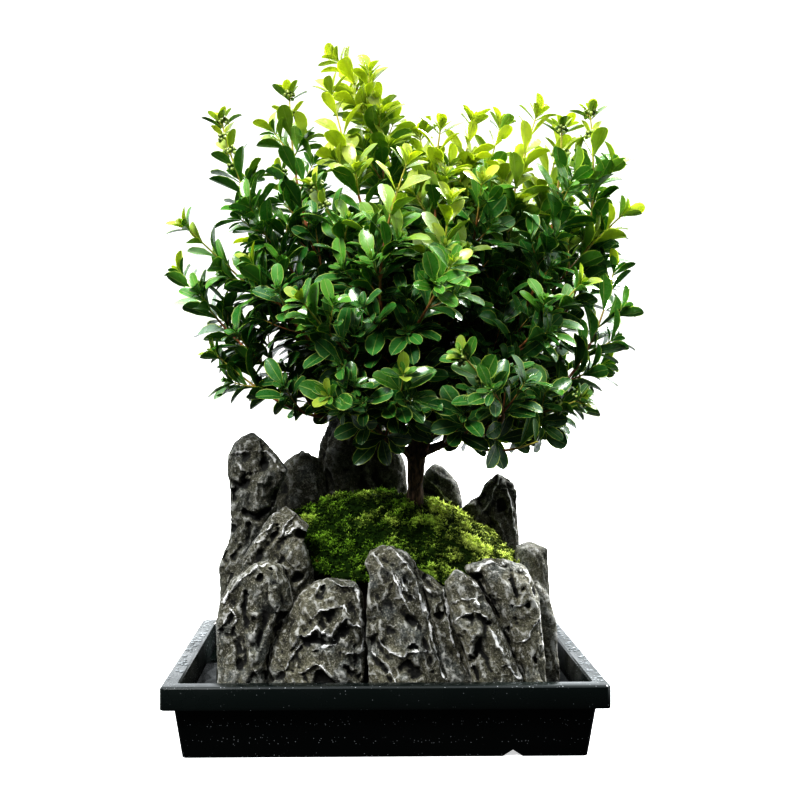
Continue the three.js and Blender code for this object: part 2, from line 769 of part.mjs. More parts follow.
// The stem's foot: flat against the limb's end, or slid along the stem into the plane that just
// clears the limb's side.
function footRing(spray, { bend, outward }, radius, turn) {
  const ring = bend.ring(0, radius, 4, turn);
  if (spray.at === 1) return ring;
  const way = bend.along(0);
  const slope = way.dot(outward);
  return ring.map((p) => p.addScaledVector(way, -p.clone().sub(bend.point(0)).dot(outward) / slope));
}

// A spray: a square stem whose sides open into blades, pair above pair, each turned a quarter.
function sprayMesh(spray, index) {
  const seed = index + 1;
  const line = sprayBend(spray);
  const { bend } = line;
  const length = bend.length();
  const turn = Math.PI / 4 + (draw(seed, 0, 1) - 0.5) * 1.2;
  const radiusAt = (u) => mix(STEM.foot, STEM.tip, u);
  const skin = new Skin();
  const foot = footRing(spray, line, radiusAt(0), turn);
  let ring = skin.ring(foot);
  skin.capStart(ring, middle(foot));
  const climb = (u, skip = []) => {
    const next = skin.ring(bend.ring(u, radiusAt(u), 4, turn));
    skin.band(ring, next, skip);
    const before = ring;
    ring = next;
    return [before, next];
  };
  const pairs = Math.max(3, Math.round((length * (1 - STEM.bare)) / PAIR_PITCH));
  const halfRoot = BLADE.root / 2 / length;
  climb(STEM.bare * 0.6);
  for (let k = 0; k < pairs; k++) {
    const u = mix(STEM.bare, 1 - halfRoot, k / (pairs - 1));
    const age = 1 - k / (pairs - 1); // 1 at the oldest pair, 0 at the tip
    climb(u - halfRoot);
    const sides = k % 2 ? [1, 3] : [0, 2];
    const [lower, upper] = climb(u + halfRoot, sides);
    for (const side of sides) {
      const next = (side + 1) % 4;
      const corners = [lower[side], lower[next], upper[next], upper[side]];
      growSide(skin, corners, bend, { u, age, seed, k, side, buds: spray.buds });
    }
  }
  skin.capEnd(ring, bend.point(1).addScaledVector(bend.along(1), 1));
  const name = "spray_" + String(seed).padStart(2, "0");
  return meshOf(name, skin.geometry(), spray.young ? MATERIALS.youngLeaf : MATERIALS.leaf);
}

// One side of the stem at a pair: a blade, a bud, or the plain stem where nothing fits.
function growSide(skin, corners, bend, { u, age, seed, k, side, buds }) {
  const points = corners.map((c) => skin.at(c));
  const root = middle(points);
  const along = bend.along(u);
  const outward = root.clone().sub(bend.point(u)).normalize();
  if (buds && age < 0.09 * buds) {
    const out = outward.clone().addScaledVector(along, 0.9).normalize();
    growBud(skin, corners, root, out);
    return;
  }
  const jitter = (channel) => draw(seed, k * 4 + side, channel) - 0.5;
  const light = new THREE.Vector3(root.x - TRUNK.x, root.y - TRUNK.y, 0).normalize();
  light.z = 0.7;
  const length = BLADE.length * mix(...GROWTH.length, age ** 0.6) * (1 + 0.2 * jitter(2));
  const spread = mix(...GROWTH.spread, age) + 0.3 * jitter(3);
  for (const shrink of [1, 0.8, 0.6]) {
    for (const extraTwist of [0, 0.5, -0.5, 1, -1]) {
      const axes = bladeAxes(along, outward, spread, 0.5 * jitter(4) + extraTwist, light);
      const blade = {
        ...axes,
        root,
        length: length * shrink,
        halfWidth: (shrink * length * BLADE.width) / BLADE.length / 2,
        curl: 0.1 + 0.25 * (jitter(5) + 0.5),
      };
      const tests = bladeTestPoints(blade);
      if (!isClear(tests, seed - 1)) continue;
      // The across axis runs from the root's first corner to its second.
      if (blade.across.dot(points[1].clone().sub(points[0])) < 0) continue;
      growBlade(skin, corners, blade);
      tests.forEach((p) => keepClear(p, LEAF_ROOM, seed - 1));
      return;
    }
  }
  skin.quad(...corners);
}

// Wood, stones and stems claim their room before any blade is placed.
function claimRoom(stones) {
  for (const limb of Object.values(LIMBS)) {
    const bend = limbBend(limb);
    for (let u = 0; u <= 1; u += 3 / bend.length()) {
      keepClear(bend.point(u), LEAF_ROOM + limbRadius(limb, u), "wood");
    }
  }
  for (const stone of stones) {
    const position = stone.geometry.getAttribute("position");
    for (let i = 0; i < position.count; i++) {
      keepClear(new THREE.Vector3().fromBufferAttribute(position, i), STONE_ROOM, "stone");
    }
  }
  SPRAYS.forEach((spray, index) => {
    const { bend } = sprayBend(spray);
    const length = bend.length();
    for (let u = 8 / length; u <= 1; u += 3 / length) keepClear(bend.point(u), LEAF_ROOM, index);
  });
}

const bonsai = new THREE.Group();
const swollenStones = STONES.map((stone) => stoneSolid(stone, CLEARANCE));
const stones = stoneMeshes(swollenStones);
const soilHole = solidOf(loft([0, WATER_LEVEL + 1].map((z) => ellipse(SOIL, 1.02, () => z))));
const water = waterMesh([soilHole, ...STONES.map((stone) => stoneHole(stone, 1))]);
claimRoom(stones);
bonsai.add(trayMesh(), water, ...stones, ...moundMeshes(swollenStones), trunkMesh());
bonsai.add(...SPRAYS.map(sprayMesh));

export default bonsai;
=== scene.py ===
"""A young Syzygium buxifolium on a mossy mound inside a ring of limestone, in a black water tray.

The CAD solids give every place and size. This script dresses them: weathered stone, moss with
its shoots, bark, still water, and sprays whose leaves stand pair above pair on the same stems.
Sizes are millimetres, but the materials and the studio measure in metres.
"""
import itertools
import math
import bpy
import numpy as np
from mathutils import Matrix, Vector, noise


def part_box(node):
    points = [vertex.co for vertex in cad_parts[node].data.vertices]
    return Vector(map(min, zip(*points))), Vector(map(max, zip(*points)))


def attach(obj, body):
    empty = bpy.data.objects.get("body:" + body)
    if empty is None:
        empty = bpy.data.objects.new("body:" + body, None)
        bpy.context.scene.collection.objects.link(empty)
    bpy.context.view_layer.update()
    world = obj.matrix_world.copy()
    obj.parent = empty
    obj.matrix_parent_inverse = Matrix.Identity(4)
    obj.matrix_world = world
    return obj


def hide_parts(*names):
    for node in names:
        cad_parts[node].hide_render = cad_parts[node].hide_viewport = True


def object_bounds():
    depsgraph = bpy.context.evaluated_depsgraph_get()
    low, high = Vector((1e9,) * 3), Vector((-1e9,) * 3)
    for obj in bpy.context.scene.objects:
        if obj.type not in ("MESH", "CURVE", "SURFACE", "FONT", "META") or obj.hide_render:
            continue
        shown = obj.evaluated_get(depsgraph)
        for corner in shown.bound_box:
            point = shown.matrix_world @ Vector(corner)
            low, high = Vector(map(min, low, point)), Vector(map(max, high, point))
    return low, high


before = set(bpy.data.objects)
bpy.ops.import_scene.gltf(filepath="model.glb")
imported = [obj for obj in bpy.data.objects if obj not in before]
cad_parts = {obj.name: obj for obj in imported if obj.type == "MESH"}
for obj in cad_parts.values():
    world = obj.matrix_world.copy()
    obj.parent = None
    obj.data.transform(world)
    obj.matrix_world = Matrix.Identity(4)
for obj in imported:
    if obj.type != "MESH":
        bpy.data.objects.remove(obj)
cad_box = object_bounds()
noise.seed_set(7)  # without it noise_vector differs from run to run

MM = 0.001
CLEARANCE = 0.4  # between a limb and the foot of a spray
WATER_LEVEL = 33
TRAY = {"width": 300, "depth": 216, "height": 51, "rim": 11.5, "rounding": 0.7}
TRUNK = {"x": 25, "y": 6, "ground": 160, "lean": (0.03, -0.02)}

# Camera: 747 mm in front of the tray's rim, a little to the left of its middle.
CAMERA = {
    "place": (-20.6, -855, 252.2), "lens": 50.94, "sensor": 36, "down": 0.86, "right": 1.0, "shift": 0.0315,
}

# Main limbs: the height at which each leaves the trunk, the point that bends it, its end and radii.
LIMBS = {
    "lowFront": (194, (45, -24, 209), (75, -64, 221), (2.6, 1.7)),
    "lowFrontLeft": (192, (9, -18, 207), (-17, -48, 229), (2.4, 1.6)),
    "lowLeft": (197, (-11, -2, 215), (-63, -10, 247), (3.4, 1.9)),
    "lowRight": (200, (59, -8, 210), (109, -28, 235), (3.2, 1.8)),
    "farRight": (206, (71, 8, 223), (123, 8, 281), (3.2, 1.8)),
    "right": (213, (65, -4, 239), (100, -22, 299), (3.2, 1.8)),
    "midLeft": (208, (1, -10, 233), (-48, -30, 278), (3.2, 1.8)),
    "front": (210, (19, -22, 237), (1, -54, 292), (2.6, 1.7)),
    "backLeft": (205, (3, 34, 237), (-47, 66, 303), (3, 1.8)),
    "backRight": (203, (59, 34, 235), (103, 66, 299), (3, 1.8)),
    "upperLeft": (219, (9, 4, 253), (-31, 0, 312), (3.2, 1.8)),
    "crownRight": (221, (45, -2, 262), (61, -12, 327), (3.2, 1.8)),
    "crownLeft": (223, (25, 10, 269), (1, 14, 352), (3.2, 1.8)),
    "back": (216, (31, 34, 269), (25, 78, 352), (3, 1.8)),
}

# Sprays: the limb that carries each, how far along it, its tip, and what marks it.
SPRAYS = [
    ("lowLeft", 1, (-150, -5, 333), {}),
    ("lowLeft", 0.7, (-121, -26, 272), {}),
    ("midLeft", 1, (-93, -44, 336), {}),
    ("midLeft", 0.65, (-142, -34, 364), {}),
    ("upperLeft", 0.7, (-119, -12, 444), {"via": (-95, -12, 344), "buds": 3}),
    ("upperLeft", 1, (-70, 4, 468), {"buds": 1}),
    ("upperLeft", 0.85, (-78, 30, 414), {"buds": 3}),
    ("upperLeft", 0.5, (-48, -60, 389), {"buds": 1}),
    ("crownLeft", 1, (-34, 22, 501), {"via": (12, 20, 445), "young": True}),
    ("crownLeft", 0.75, (-38, -22, 465), {"young": True}),
    ("crownLeft", 0.88, (-12, 50, 456), {}),
    ("crownLeft", 0.55, (30, 32, 445), {"young": True}),
    ("front", 1, (14, -95, 399), {"young": True}),
    ("front", 0.6, (-56, -90, 307), {}),
    ("front", 0.82, (42, -114, 329), {}),
    ("crownRight", 1, (69, -54, 393), {}),
    ("crownRight", 0.8, (70, 18, 452), {"young": True}),
    ("crownRight", 0.9, (42, -22, 438), {"young": True}),
    ("crownRight", 0.5, (44, -84, 375), {"young": True}),
    ("crownRight", 0.65, (95, 48, 456), {}),
    ("right", 1, (127, -46, 432), {"buds": 1}),
    ("right", 0.8, (116, 0, 453), {"young": True}),
    ("right", 0.55, (134, -70, 319), {}),
    ("farRight", 1, (158, 4, 455), {"buds": 1}),
    ("farRight", 0.78, (178, -14, 377), {"young": True}),
    ("farRight", 0.9, (144, 40, 452), {"young": True}),
    ("farRight", 0.5, (168, 50, 405), {}),
    ("lowRight", 1, (172, -14, 335), {}),
    ("lowRight", 0.78, (135, -66, 240), {"buds": 3}),
    ("lowRight", 0.5, (172, 26, 266), {}),
    ("lowFront", 1, (51, -114, 269), {"via": (94, -92, 227), "buds": 1}),
    ("lowFront", 0.7, (102, -98, 213), {}),
    ("lowFrontLeft", 1, (-38, -84, 243), {}),
    ("lowFrontLeft", 0.6, (12, -92, 257), {}),
    ("backLeft", 1, (-102, 84, 369), {}),
    ("backLeft", 0.65, (-64, 118, 307), {}),
    ("back", 1, (6, 98, 447), {}),
    ("back", 0.65, (40, 130, 359), {}),
    ("backRight", 1, (130, 98, 395), {}),
    ("backRight", 0.65, (100, 122, 299), {}),
]

# Leaves that hang from the lowest limbs: the limb, how far along it, and where their short stem ends.
HANGING = [
    ("lowRight", 0.35, (62, -22, 215)),
    ("lowRight", 0.5, (74, -26, 215)),
    ("lowRight", 0.62, (94, -34, 214)),
    ("lowRight", 0.85, (112, -40, 217)),
    ("lowFront", 0.45, (54, -58, 218)),
    ("lowFront", 0.8, (77, -76, 213)),
    ("lowFrontLeft", 0.5, (2, -42, 214)),
    ("lowFrontLeft", 0.8, (-14, -54, 224)),
    ("lowLeft", 0.3, (-2, -18, 211)),
    ("farRight", 0.35, (66, 2, 221)),
    ("backRight", 0.3, (48, 24, 219)),
]
HANGING_FLOOR = 190  # no hanging leaf reaches below this
STEM = {"foot": 1.45, "tip": 0.6, "bare": 0.22}  # radii, and the share of a stem below its first leaves
LEAF = {"length": 29, "width": 13.8, "thickness": 0.5}
PAIR_PITCH = 20.5  # spacing of the CAD's leaf pairs, which the real ones divide by two
LEAF_ROOM = 2.1  # least distance between the test points of two leaves
EDGE = 1.0  # least distance from a leaf to the sides of the CAD's box
# Leaves stay above a skirt, which is lowest at the trunk and rises more to the left than to the right.
SKIRT = {"height": 205, "rise_left": 0.22, "rise_right": 0.04}
# The tight pairs of leaves at the tip of a spray and of a twig: their number, and their leaves' length.
ROSETTE = {"pairs": 5, "on_spray": 18, "on_twig": 13}
# Side twigs of a spray: the age of stem from which they grow, how often, and their pairs of leaves.
TWIGS = {"from_age": 0.3, "chance": 0.7, "pairs": 3}
# Heights between which leaves get younger, lighter colours upwards, as painted light, and older, darker
# ones downwards, as painted shade.
YOUNGER_AND_LIT = (360, 470)
OLDER_AND_SHADED = (400, 290)
# Shoots along a limb: the share of it left bare, their spacing, their length and their pairs of leaves.
INNER_SHOOTS = {"bare": 0.12, "spacing": 4.2, "length": (20, 42), "pairs": 4}

# A leaf's outline from its stalk to its tip: share of its length and of its half width.
LEAF_OUTLINE = [(0, 0.07), (0.26, 0.42), (0.48, 0.88), (0.68, 1), (0.87, 0.82), (0.965, 0.45)]
LEAF_COLUMNS = [-1, 0, 1]  # its points across, as shares of its half width


def draw(a, b, c):
    """A repeatable draw from 0 to 1 for three whole numbers."""
    s = math.sin(a * 12.9898 + b * 78.233 + c * 37.719) * 43758.5453
    return s - math.floor(s)


def mix(a, b, t):
    return a + (b - a) * t


def unit(v):
    return v / np.linalg.norm(v)


def around(side, up, angle):
    """The direction at an angle from side to up, which are at right angles."""
    return side * math.cos(angle) + up * math.sin(angle)


def turned(v, axis, angle):
    """v turned about a unit axis."""
    c, s = math.cos(angle), math.sin(angle)
    return v * c + np.cross(axis, v) * s + axis * (axis @ v) * (1 - c)


# Meshes

def new_piece(name, points, triangles, smooth_angle=math.pi):
    """A mesh object from points in millimetres and triangles."""
    mesh = bpy.data.meshes.new(name)
    points = np.asarray(points, np.float32) * MM
    triangles = np.asarray(triangles, np.int32)
    mesh.vertices.add(len(points))
    mesh.vertices.foreach_set("co", points.ravel())
    mesh.loops.add(triangles.size)
    mesh.loops.foreach_set("vertex_index", triangles.ravel())
    mesh.polygons.add(len(triangles))
    mesh.polygons.foreach_set("loop_start", np.arange(0, triangles.size, 3, dtype=np.int32))
    mesh.polygons.foreach_set("use_smooth", np.ones(len(triangles), bool))
    mesh.update(calc_edges=True)
    if smooth_angle < math.pi:
        mesh.set_sharp_from_angle(angle=smooth_angle)
    piece = bpy.data.objects.new(name, mesh)
    bpy.context.scene.collection.objects.link(piece)
    return piece


def copy_of(node, name):
    piece = bpy.data.objects.new(name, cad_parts[node].data.copy())
    bpy.context.scene.collection.objects.link(piece)
    return piece


def apply_modifiers(piece):
    evaluated = piece.evaluated_get(bpy.context.evaluated_depsgraph_get())
    mesh = bpy.data.meshes.new_from_object(evaluated)
    piece.modifiers.clear()
    piece.data = mesh


def remesh(piece, voxel, smoothing):
    modifier = piece.modifiers.new("remesh", "REMESH")
    modifier.mode = "VOXEL"
    modifier.voxel_size = voxel * MM
    modifier.use_smooth_shade = True
    smooth = piece.modifiers.new("smooth", "SMOOTH")
    smooth.factor = 0.5
    smooth.iterations = smoothing
    apply_modifiers(piece)


def thin_out(piece, share):
    """Keeps that share of a piece's triangles, most of them where it is finely shaped."""
    modifier = piece.modifiers.new("thin", "DECIMATE")
    modifier.ratio = share
    apply_modifiers(piece)


def read_points(mesh):
    points = np.empty(len(mesh.vertices) * 3, np.float32)
    mesh.vertices.foreach_get("co", points)
    return points.reshape(-1, 3) / MM


def read_normals(mesh):
    normals = np.empty(len(mesh.vertices) * 3, np.float32)
    mesh.vertex_normals.foreach_get("vector", normals)
    return normals.reshape(-1, 3)


def write_points(mesh, points):
    mesh.vertices.foreach_set("co", (points * MM).astype(np.float32).ravel())
    mesh.update()


def add_attribute(mesh, name, values, domain="POINT"):
    attribute = mesh.attributes.new(name, "FLOAT", domain)
    attribute.data.foreach_set("value", np.asarray(values, np.float32))


def dress(piece, material, slot, *nodes):
    """Gives a piece its material and body, and hides the nodes that it stands for."""
    piece.data.materials.clear()
    piece.data.materials.append(material)
    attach(piece, "root")
    if nodes:
        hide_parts(*nodes)
    return piece


# Materials

class Shader:
    """A material's node tree, built by name."""

    def __init__(self, name):
        self.material = bpy.data.materials.new(name)
        self.material.use_nodes = True
        self.tree = self.material.node_tree
        self.bsdf = self.tree.nodes["Principled BSDF"]
        self.output = self.tree.nodes["Material Output"]
        self.place = self.add("ShaderNodeTexCoord").outputs["Object"]

    def add(self, kind, settings=None, **inputs):
        made = self.tree.nodes.new(kind)
        for key, value in (settings or {}).items():
            setattr(made, key, value)
        for key, value in inputs.items():
            index = int(key[1:]) if key[0] == "i" and key[1:].isdigit() else key.replace("_", " ")
            self.set(made.inputs[index], value)
        return made

    def set(self, socket, value):
        if isinstance(value, bpy.types.NodeSocket):
            self.tree.links.new(value, socket)
        else:
            socket.default_value = value

    def principled(self, **inputs):
        for key, value in inputs.items():
            self.set(self.bsdf.inputs[key.replace("_", " ")], value)

    def math(self, operation, a, b=0.0, clamp=False):
        made = self.add("ShaderNodeMath", {"operation": operation, "use_clamp": clamp}, i0=a, i1=b)
        return made.outputs[0]

    def times(self, a, b):
        return self.math("MULTIPLY", a, b)

    def plus(self, a, b):
        return self.math("ADD", a, b)

    def minus(self, a, b):
        return self.math("SUBTRACT", a, b)

    def ramp(self, value, low, high, start=0.0, end=1.0):
        """value from low to high, spread smoothly from start to end."""
        made = self.add(
            "ShaderNodeMapRange", {"interpolation_type": "SMOOTHSTEP"},
            Value=value, From_Min=low, From_Max=high, To_Min=start, To_Max=end,
        )
        return made.outputs[0]

    def blend(self, factor, a, b):
        made = self.add("ShaderNodeMix", {"data_type": "RGBA"})
        self.set(made.inputs["Factor"], factor)
        self.set(made.inputs[6], a)
        self.set(made.inputs[7], b)
        return made.outputs[2]

    def noise(self, scale, detail=4.0, roughness=0.55, vector=None):
        made = self.add(
            "ShaderNodeTexNoise", Vector=vector or self.place,
            Scale=scale, Detail=detail, Roughness=roughness,
        )
        return made.outputs[0]

    def cells(self, scale):
        return self.add("ShaderNodeTexVoronoi", Vector=self.place, Scale=scale)

    def stretched(self, scale):
        """The place with each axis scaled."""
        return self.add("ShaderNodeMapping", Vector=self.place, Scale=scale).outputs[0]

    def coordinate(self, axis):
        """The place along one axis: 0 to the right, 1 to the back and 2 up."""
        return self.add("ShaderNodeSeparateXYZ", Vector=self.place).outputs[axis]

    def read(self, name):
        return self.add("ShaderNodeAttribute", {"attribute_name": name}).outputs["Fac"]

    def bump(self, height, distance, strength=1.0):
        made = self.add("ShaderNodeBump", Height=height, Distance=distance * MM, Strength=strength)
        return made.outputs[0]


def rgb(r, g, b):
    return (r, g, b, 1.0)


def tray_material():
    s = Shader("tray_plastic")
    cells = s.cells(560)
    near = s.ramp(cells.outputs["Distance"], 0.26, 0.16)
    speck = s.times(near, s.ramp(cells.outputs["Color"], 0.66, 0.72))
    wipe = s.noise(26, 5)
    # Painted sheen: the lip is coloured lighter than the rest of the tray.
    painted_lip_sheen = s.ramp(s.coordinate(2), 0.034, 0.038)
    black = s.blend(painted_lip_sheen, rgb(0.0045, 0.006, 0.006), rgb(0.009, 0.013, 0.012))
    s.principled(
        Base_Color=s.blend(speck, black, rgb(0.3, 0.31, 0.32)),
        Roughness=s.ramp(wipe, 0.3, 0.7, 0.16, 0.36),
        Specular_IOR_Level=0.4,
        Normal=s.bump(s.noise(900, 3), 0.06, 0.5),
    )
    return s.material


def water_material(name, colour, alpha, shine):
    s = Shader(name)
    s.principled(Base_Color=colour, Roughness=0.04, IOR=1.333, Alpha=alpha, Specular_IOR_Level=shine)
    s.principled(Normal=s.bump(s.noise(60, 3), 0.6, 0.6))
    return s.material


def stone_material():
    """Weathered limestone: relief and edge say how far a point stands out, and line is the signed
    distance to the nearest carved crest, in millimetres, where near is 1."""
    s = Shader("limestone")
    relief, edge, line, near = s.read("relief"), s.read("edge"), s.read("line"), s.read("near")
    broad = s.noise(26, 5, 0.6)
    grain = s.noise(420, 6, 0.72)
    sand = s.noise(820, 3, 0.75)
    base = s.blend(s.ramp(broad, 0.38, 0.62), rgb(0.064, 0.062, 0.038), rgb(0.152, 0.145, 0.096))
    base = s.blend(s.ramp(s.noise(55, 4, 0.6), 0.48, 0.66, 0, 0.7), base, rgb(0.12, 0.135, 0.135))
    base = s.blend(s.ramp(grain, 0.45, 0.68, 0, 0.8), base, rgb(0.024, 0.022, 0.016))
    base = s.blend(s.ramp(sand, 0.52, 0.68, 0, 0.8), base, rgb(0.46, 0.44, 0.37))
    base = s.blend(s.ramp(sand, 0.46, 0.32, 0, 0.8), base, rgb(0.016, 0.016, 0.012))
    # Painted shade: the stone turns near black in its recesses.
    base = s.blend(s.ramp(relief, -0.02, -0.5, 0, 0.97), base, rgb(0.005, 0.005, 0.004))
    # Edges that stand out are worn pale, and they also carry a painted highlight.
    worn_and_highlit = s.times(s.ramp(edge, 0.25, 1.0), s.ramp(s.noise(160, 5, 0.75), 0.42, 0.6))
    base = s.blend(s.times(worn_and_highlit, 0.75), base, rgb(0.55, 0.55, 0.52))
    width = s.ramp(s.noise(150, 4, 0.7), 0.4, 0.62, 0.0, 0.95)
    streak = s.ramp(s.minus(width, s.math("ABSOLUTE", line)), -0.15, 0.3)
    streak = s.times(streak, near)
    base = s.blend(streak, base, rgb(0.92, 0.92, 0.9))
    shaded = s.ramp(s.coordinate(1), -0.065, -0.02)
    base = s.blend(s.times(shaded, 0.35), base, rgb(0.012, 0.014, 0.01))
    wet = s.ramp(s.plus(s.coordinate(2), s.times(broad, 0.012)), 0.054, 0.042)
    base = s.blend(s.times(wet, 0.6), base, rgb(0.015, 0.015, 0.012))
    rough = s.plus(s.times(grain, 0.5), s.times(sand, 0.5))
    s.principled(
        Base_Color=base,
        Roughness=s.minus(s.ramp(grain, 0.2, 0.8, 0.6, 0.85), s.times(wet, 0.4)),
        Normal=s.bump(rough, 1.7, 1.0),
    )
    return s.material


def soil_material():
    s = Shader("soil")
    grain = s.noise(500, 6, 0.7)
    s.principled(
        Base_Color=s.blend(grain, rgb(0.012, 0.008, 0.005), rgb(0.05, 0.034, 0.02)),
        Roughness=0.95,
        Normal=s.bump(grain, 0.8),
    )
    return s.material


def moss_material():
    """Moss that is vivid at the tips of its shoots, with painted shade between them, yellower in patches,
    and with painted light on its right.
    """
    s = Shader("moss")
    # tip also carries painted shade: darker in the hollows between cushions and at the feet of the shoots.
    tip = s.read("tip")
    patch = s.noise(34, 4, 0.6)
    # Painted light: the right side of the moss is coloured brighter and yellower.
    painted_light_on_right = s.ramp(s.coordinate(0), 0.01, 0.07)
    tone_and_painted_light = s.math("ADD", s.ramp(patch, 0.46, 0.66, 0, 0.7), painted_light_on_right, clamp=True)
    bright = s.blend(tone_and_painted_light, rgb(0.34, 0.58, 0.07), rgb(0.86, 1.0, 0.25))
    bright = s.blend(s.ramp(s.noise(260, 3), 0.5, 0.7, 0, 0.45), bright, rgb(0.12, 0.3, 0.03))
    base = s.blend(s.ramp(tip, 0.0, 0.55), rgb(0.01, 0.026, 0.003), bright)
    bare = s.ramp(s.noise(60, 4, 0.65), 0.67, 0.74)
    base = s.blend(s.times(bare, 0.7), base, rgb(0.1, 0.04, 0.01))
    s.principled(
        Base_Color=base,
        Roughness=0.85,
        Specular_IOR_Level=0.08,
        Normal=s.bump(s.noise(600, 3, 0.6), 0.5, 0.4),
    )
    through = s.add("ShaderNodeBsdfTranslucent", Color=bright)
    share = s.times(tip, 0.25)
    mixed = s.add("ShaderNodeMixShader", i0=share, i1=s.bsdf.outputs[0], i2=through.outputs[0])
    s.set(s.output.inputs[0], mixed.outputs[0])
    return s.material


def bark_material():
    s = Shader("bark")
    relief = s.read("relief")
    grain = s.noise(1.0, 6, 0.65, vector=s.stretched((420, 420, 110)))
    base = s.blend(s.ramp(grain, 0.3, 0.7), rgb(0.045, 0.029, 0.018), rgb(0.3, 0.19, 0.12))
    # Painted shade: the bark turns near black in its fissures.
    base = s.blend(s.ramp(relief, 0.0, -0.8, 0, 0.8), base, rgb(0.006, 0.003, 0.002))
    base = s.blend(s.ramp(s.noise(90, 4), 0.6, 0.74, 0, 0.45), base, rgb(0.12, 0.1, 0.08))
    s.principled(
        Base_Color=base,
        Roughness=s.ramp(grain, 0.3, 0.7, 0.85, 0.6),
        Normal=s.bump(grain, 0.5, 0.8),
    )
    return s.material


def foliage_material(name, young):
    """Leaves, their stem and their buds. kind is 0 on the stem, 1 on a leaf and 2 on a bud."""
    s = Shader(name)
    along, across = s.read("along"), s.math("ABSOLUTE", s.read("across"))
    age, tint, kind = s.read("age"), s.read("tint"), s.read("kind")
    mature = s.blend(tint, rgb(0.022, 0.13, 0.027), rgb(0.07, 0.29, 0.052))
    grown = s.blend(tint, rgb(0.07, 0.27, 0.03), rgb(0.17, 0.43, 0.05))
    fresh = s.blend(tint, rgb(0.48, 0.56, 0.08), rgb(0.78, 0.8, 0.17))
    freshness = s.ramp(age, 0.02, 0.34 if young else 0.2, 1, 0)
    leaf = s.blend(s.ramp(age, 0.25, 0.8 if young else 0.6, 1, 0), mature, grown)
    # Painted shade: leaves are darker low in the crown.
    leaf = s.blend(s.ramp(s.coordinate(2), 0.31, 0.22, 0, 0.45), leaf, rgb(0.01, 0.055, 0.015))
    leaf = s.blend(freshness, leaf, fresh)
    cloud = s.noise(130, 3, 0.6)
    leaf = s.blend(s.ramp(cloud, 0.4, 0.75, 0, 0.22), leaf, rgb(0.1, 0.2, 0.05))
    under = s.read("under")
    leaf = s.blend(s.times(under, 0.3), leaf, rgb(0.1, 0.24, 0.05))
    slanted = s.minus(s.times(along, 9.0), s.times(across, 2.2))
    to_vein = s.math("ABSOLUTE", s.minus(s.math("FRACT", slanted), 0.5))
    side_vein = s.ramp(to_vein, 0.1, 0.0)
    leaf = s.blend(s.times(side_vein, 0.16), leaf, rgb(0.25, 0.42, 0.08))
    midrib = s.ramp(across, 0.08, 0.025)
    leaf = s.blend(s.times(midrib, 0.75), leaf, rgb(0.4, 0.52, 0.14))
    # A pale margin: partly the leaf's own colour, partly a painted rim highlight of the back light.
    margin_and_rim_light = s.ramp(across, 0.84, 0.95)
    leaf = s.blend(s.times(margin_and_rim_light, 0.75), leaf, rgb(0.7, 0.78, 0.25))
    stem = s.blend(s.ramp(age, 0.08, 0.4), rgb(0.6, 0.54, 0.12), rgb(0.42, 0.17, 0.075))
    stem = s.blend(s.ramp(s.noise(300, 4), 0.4, 0.7, 0, 0.5), stem, rgb(0.1, 0.04, 0.02))
    bud = s.blend(s.ramp(along, 0.3, 1.0), rgb(0.06, 0.14, 0.02), rgb(0.5, 0.58, 0.16))
    bud = s.blend(s.times(tint, 0.35), bud, rgb(0.1, 0.16, 0.05))
    colour = s.blend(s.ramp(kind, 0.4, 0.6), stem, leaf)
    colour = s.blend(s.ramp(kind, 1.4, 1.6), colour, bud)
    ribs = s.plus(s.times(side_vein, -0.25), s.times(midrib, -0.8))
    dew = s.ramp(s.cells(900).outputs["Distance"], 0.32, 0.05)
    relief = s.plus(ribs, s.times(dew, 0.7))
    s.principled(
        Base_Color=colour,
        Roughness=s.ramp(s.noise(160, 3), 0.3, 0.7, 0.22, 0.42),
        Normal=s.bump(relief, 0.25, 0.7),
        Coat_Weight=0.8,
        Coat_Roughness=0.2,
        Coat_Normal=s.bump(dew, 0.4, 0.8),
    )
    yellow = s.plus(s.times(freshness, 0.45), 0.2)
    glow = s.blend(yellow, colour, rgb(0.78, 0.85, 0.14))
    through = s.add("ShaderNodeBsdfTranslucent", Color=glow)
    leafy = s.times(s.ramp(kind, 0.4, 0.6), s.ramp(kind, 1.6, 1.4))
    thin = s.plus(s.times(freshness, 0.34), s.times(margin_and_rim_light, 0.3))
    share = s.times(leafy, s.plus(thin, 0.1))
    mixed = s.add("ShaderNodeMixShader", i0=share, i1=s.bsdf.outputs[0], i2=through.outputs[0])
    s.set(s.output.inputs[0], mixed.outputs[0])
    return s.material


# Tray and water

def make_tray():
    tray = copy_of("water_tray", "tray")
    bevel = tray.modifiers.new("round", "BEVEL")
    bevel.width = TRAY["rounding"] * MM
    bevel.segments = 3
    bevel.limit_method = "ANGLE"
    bevel.angle_limit = math.radians(25)
    bevel.harden_normals = True
    weld = tray.modifiers.new("weld", "WELD")
    weld.merge_threshold = 0.01 * MM
    tray.modifiers.move(1, 0)
    apply_modifiers(tray)
    tray.data.shade_smooth()
    tray.data.set_sharp_from_angle(angle=math.radians(40))
    dress(tray, tray_material(), "tray_plastic", "water_tray")


WATER_PITCH = 5
RIPPLES = [(0.35, 0.09), (0.2, 0.25)]  # height, and how many to a millimetre


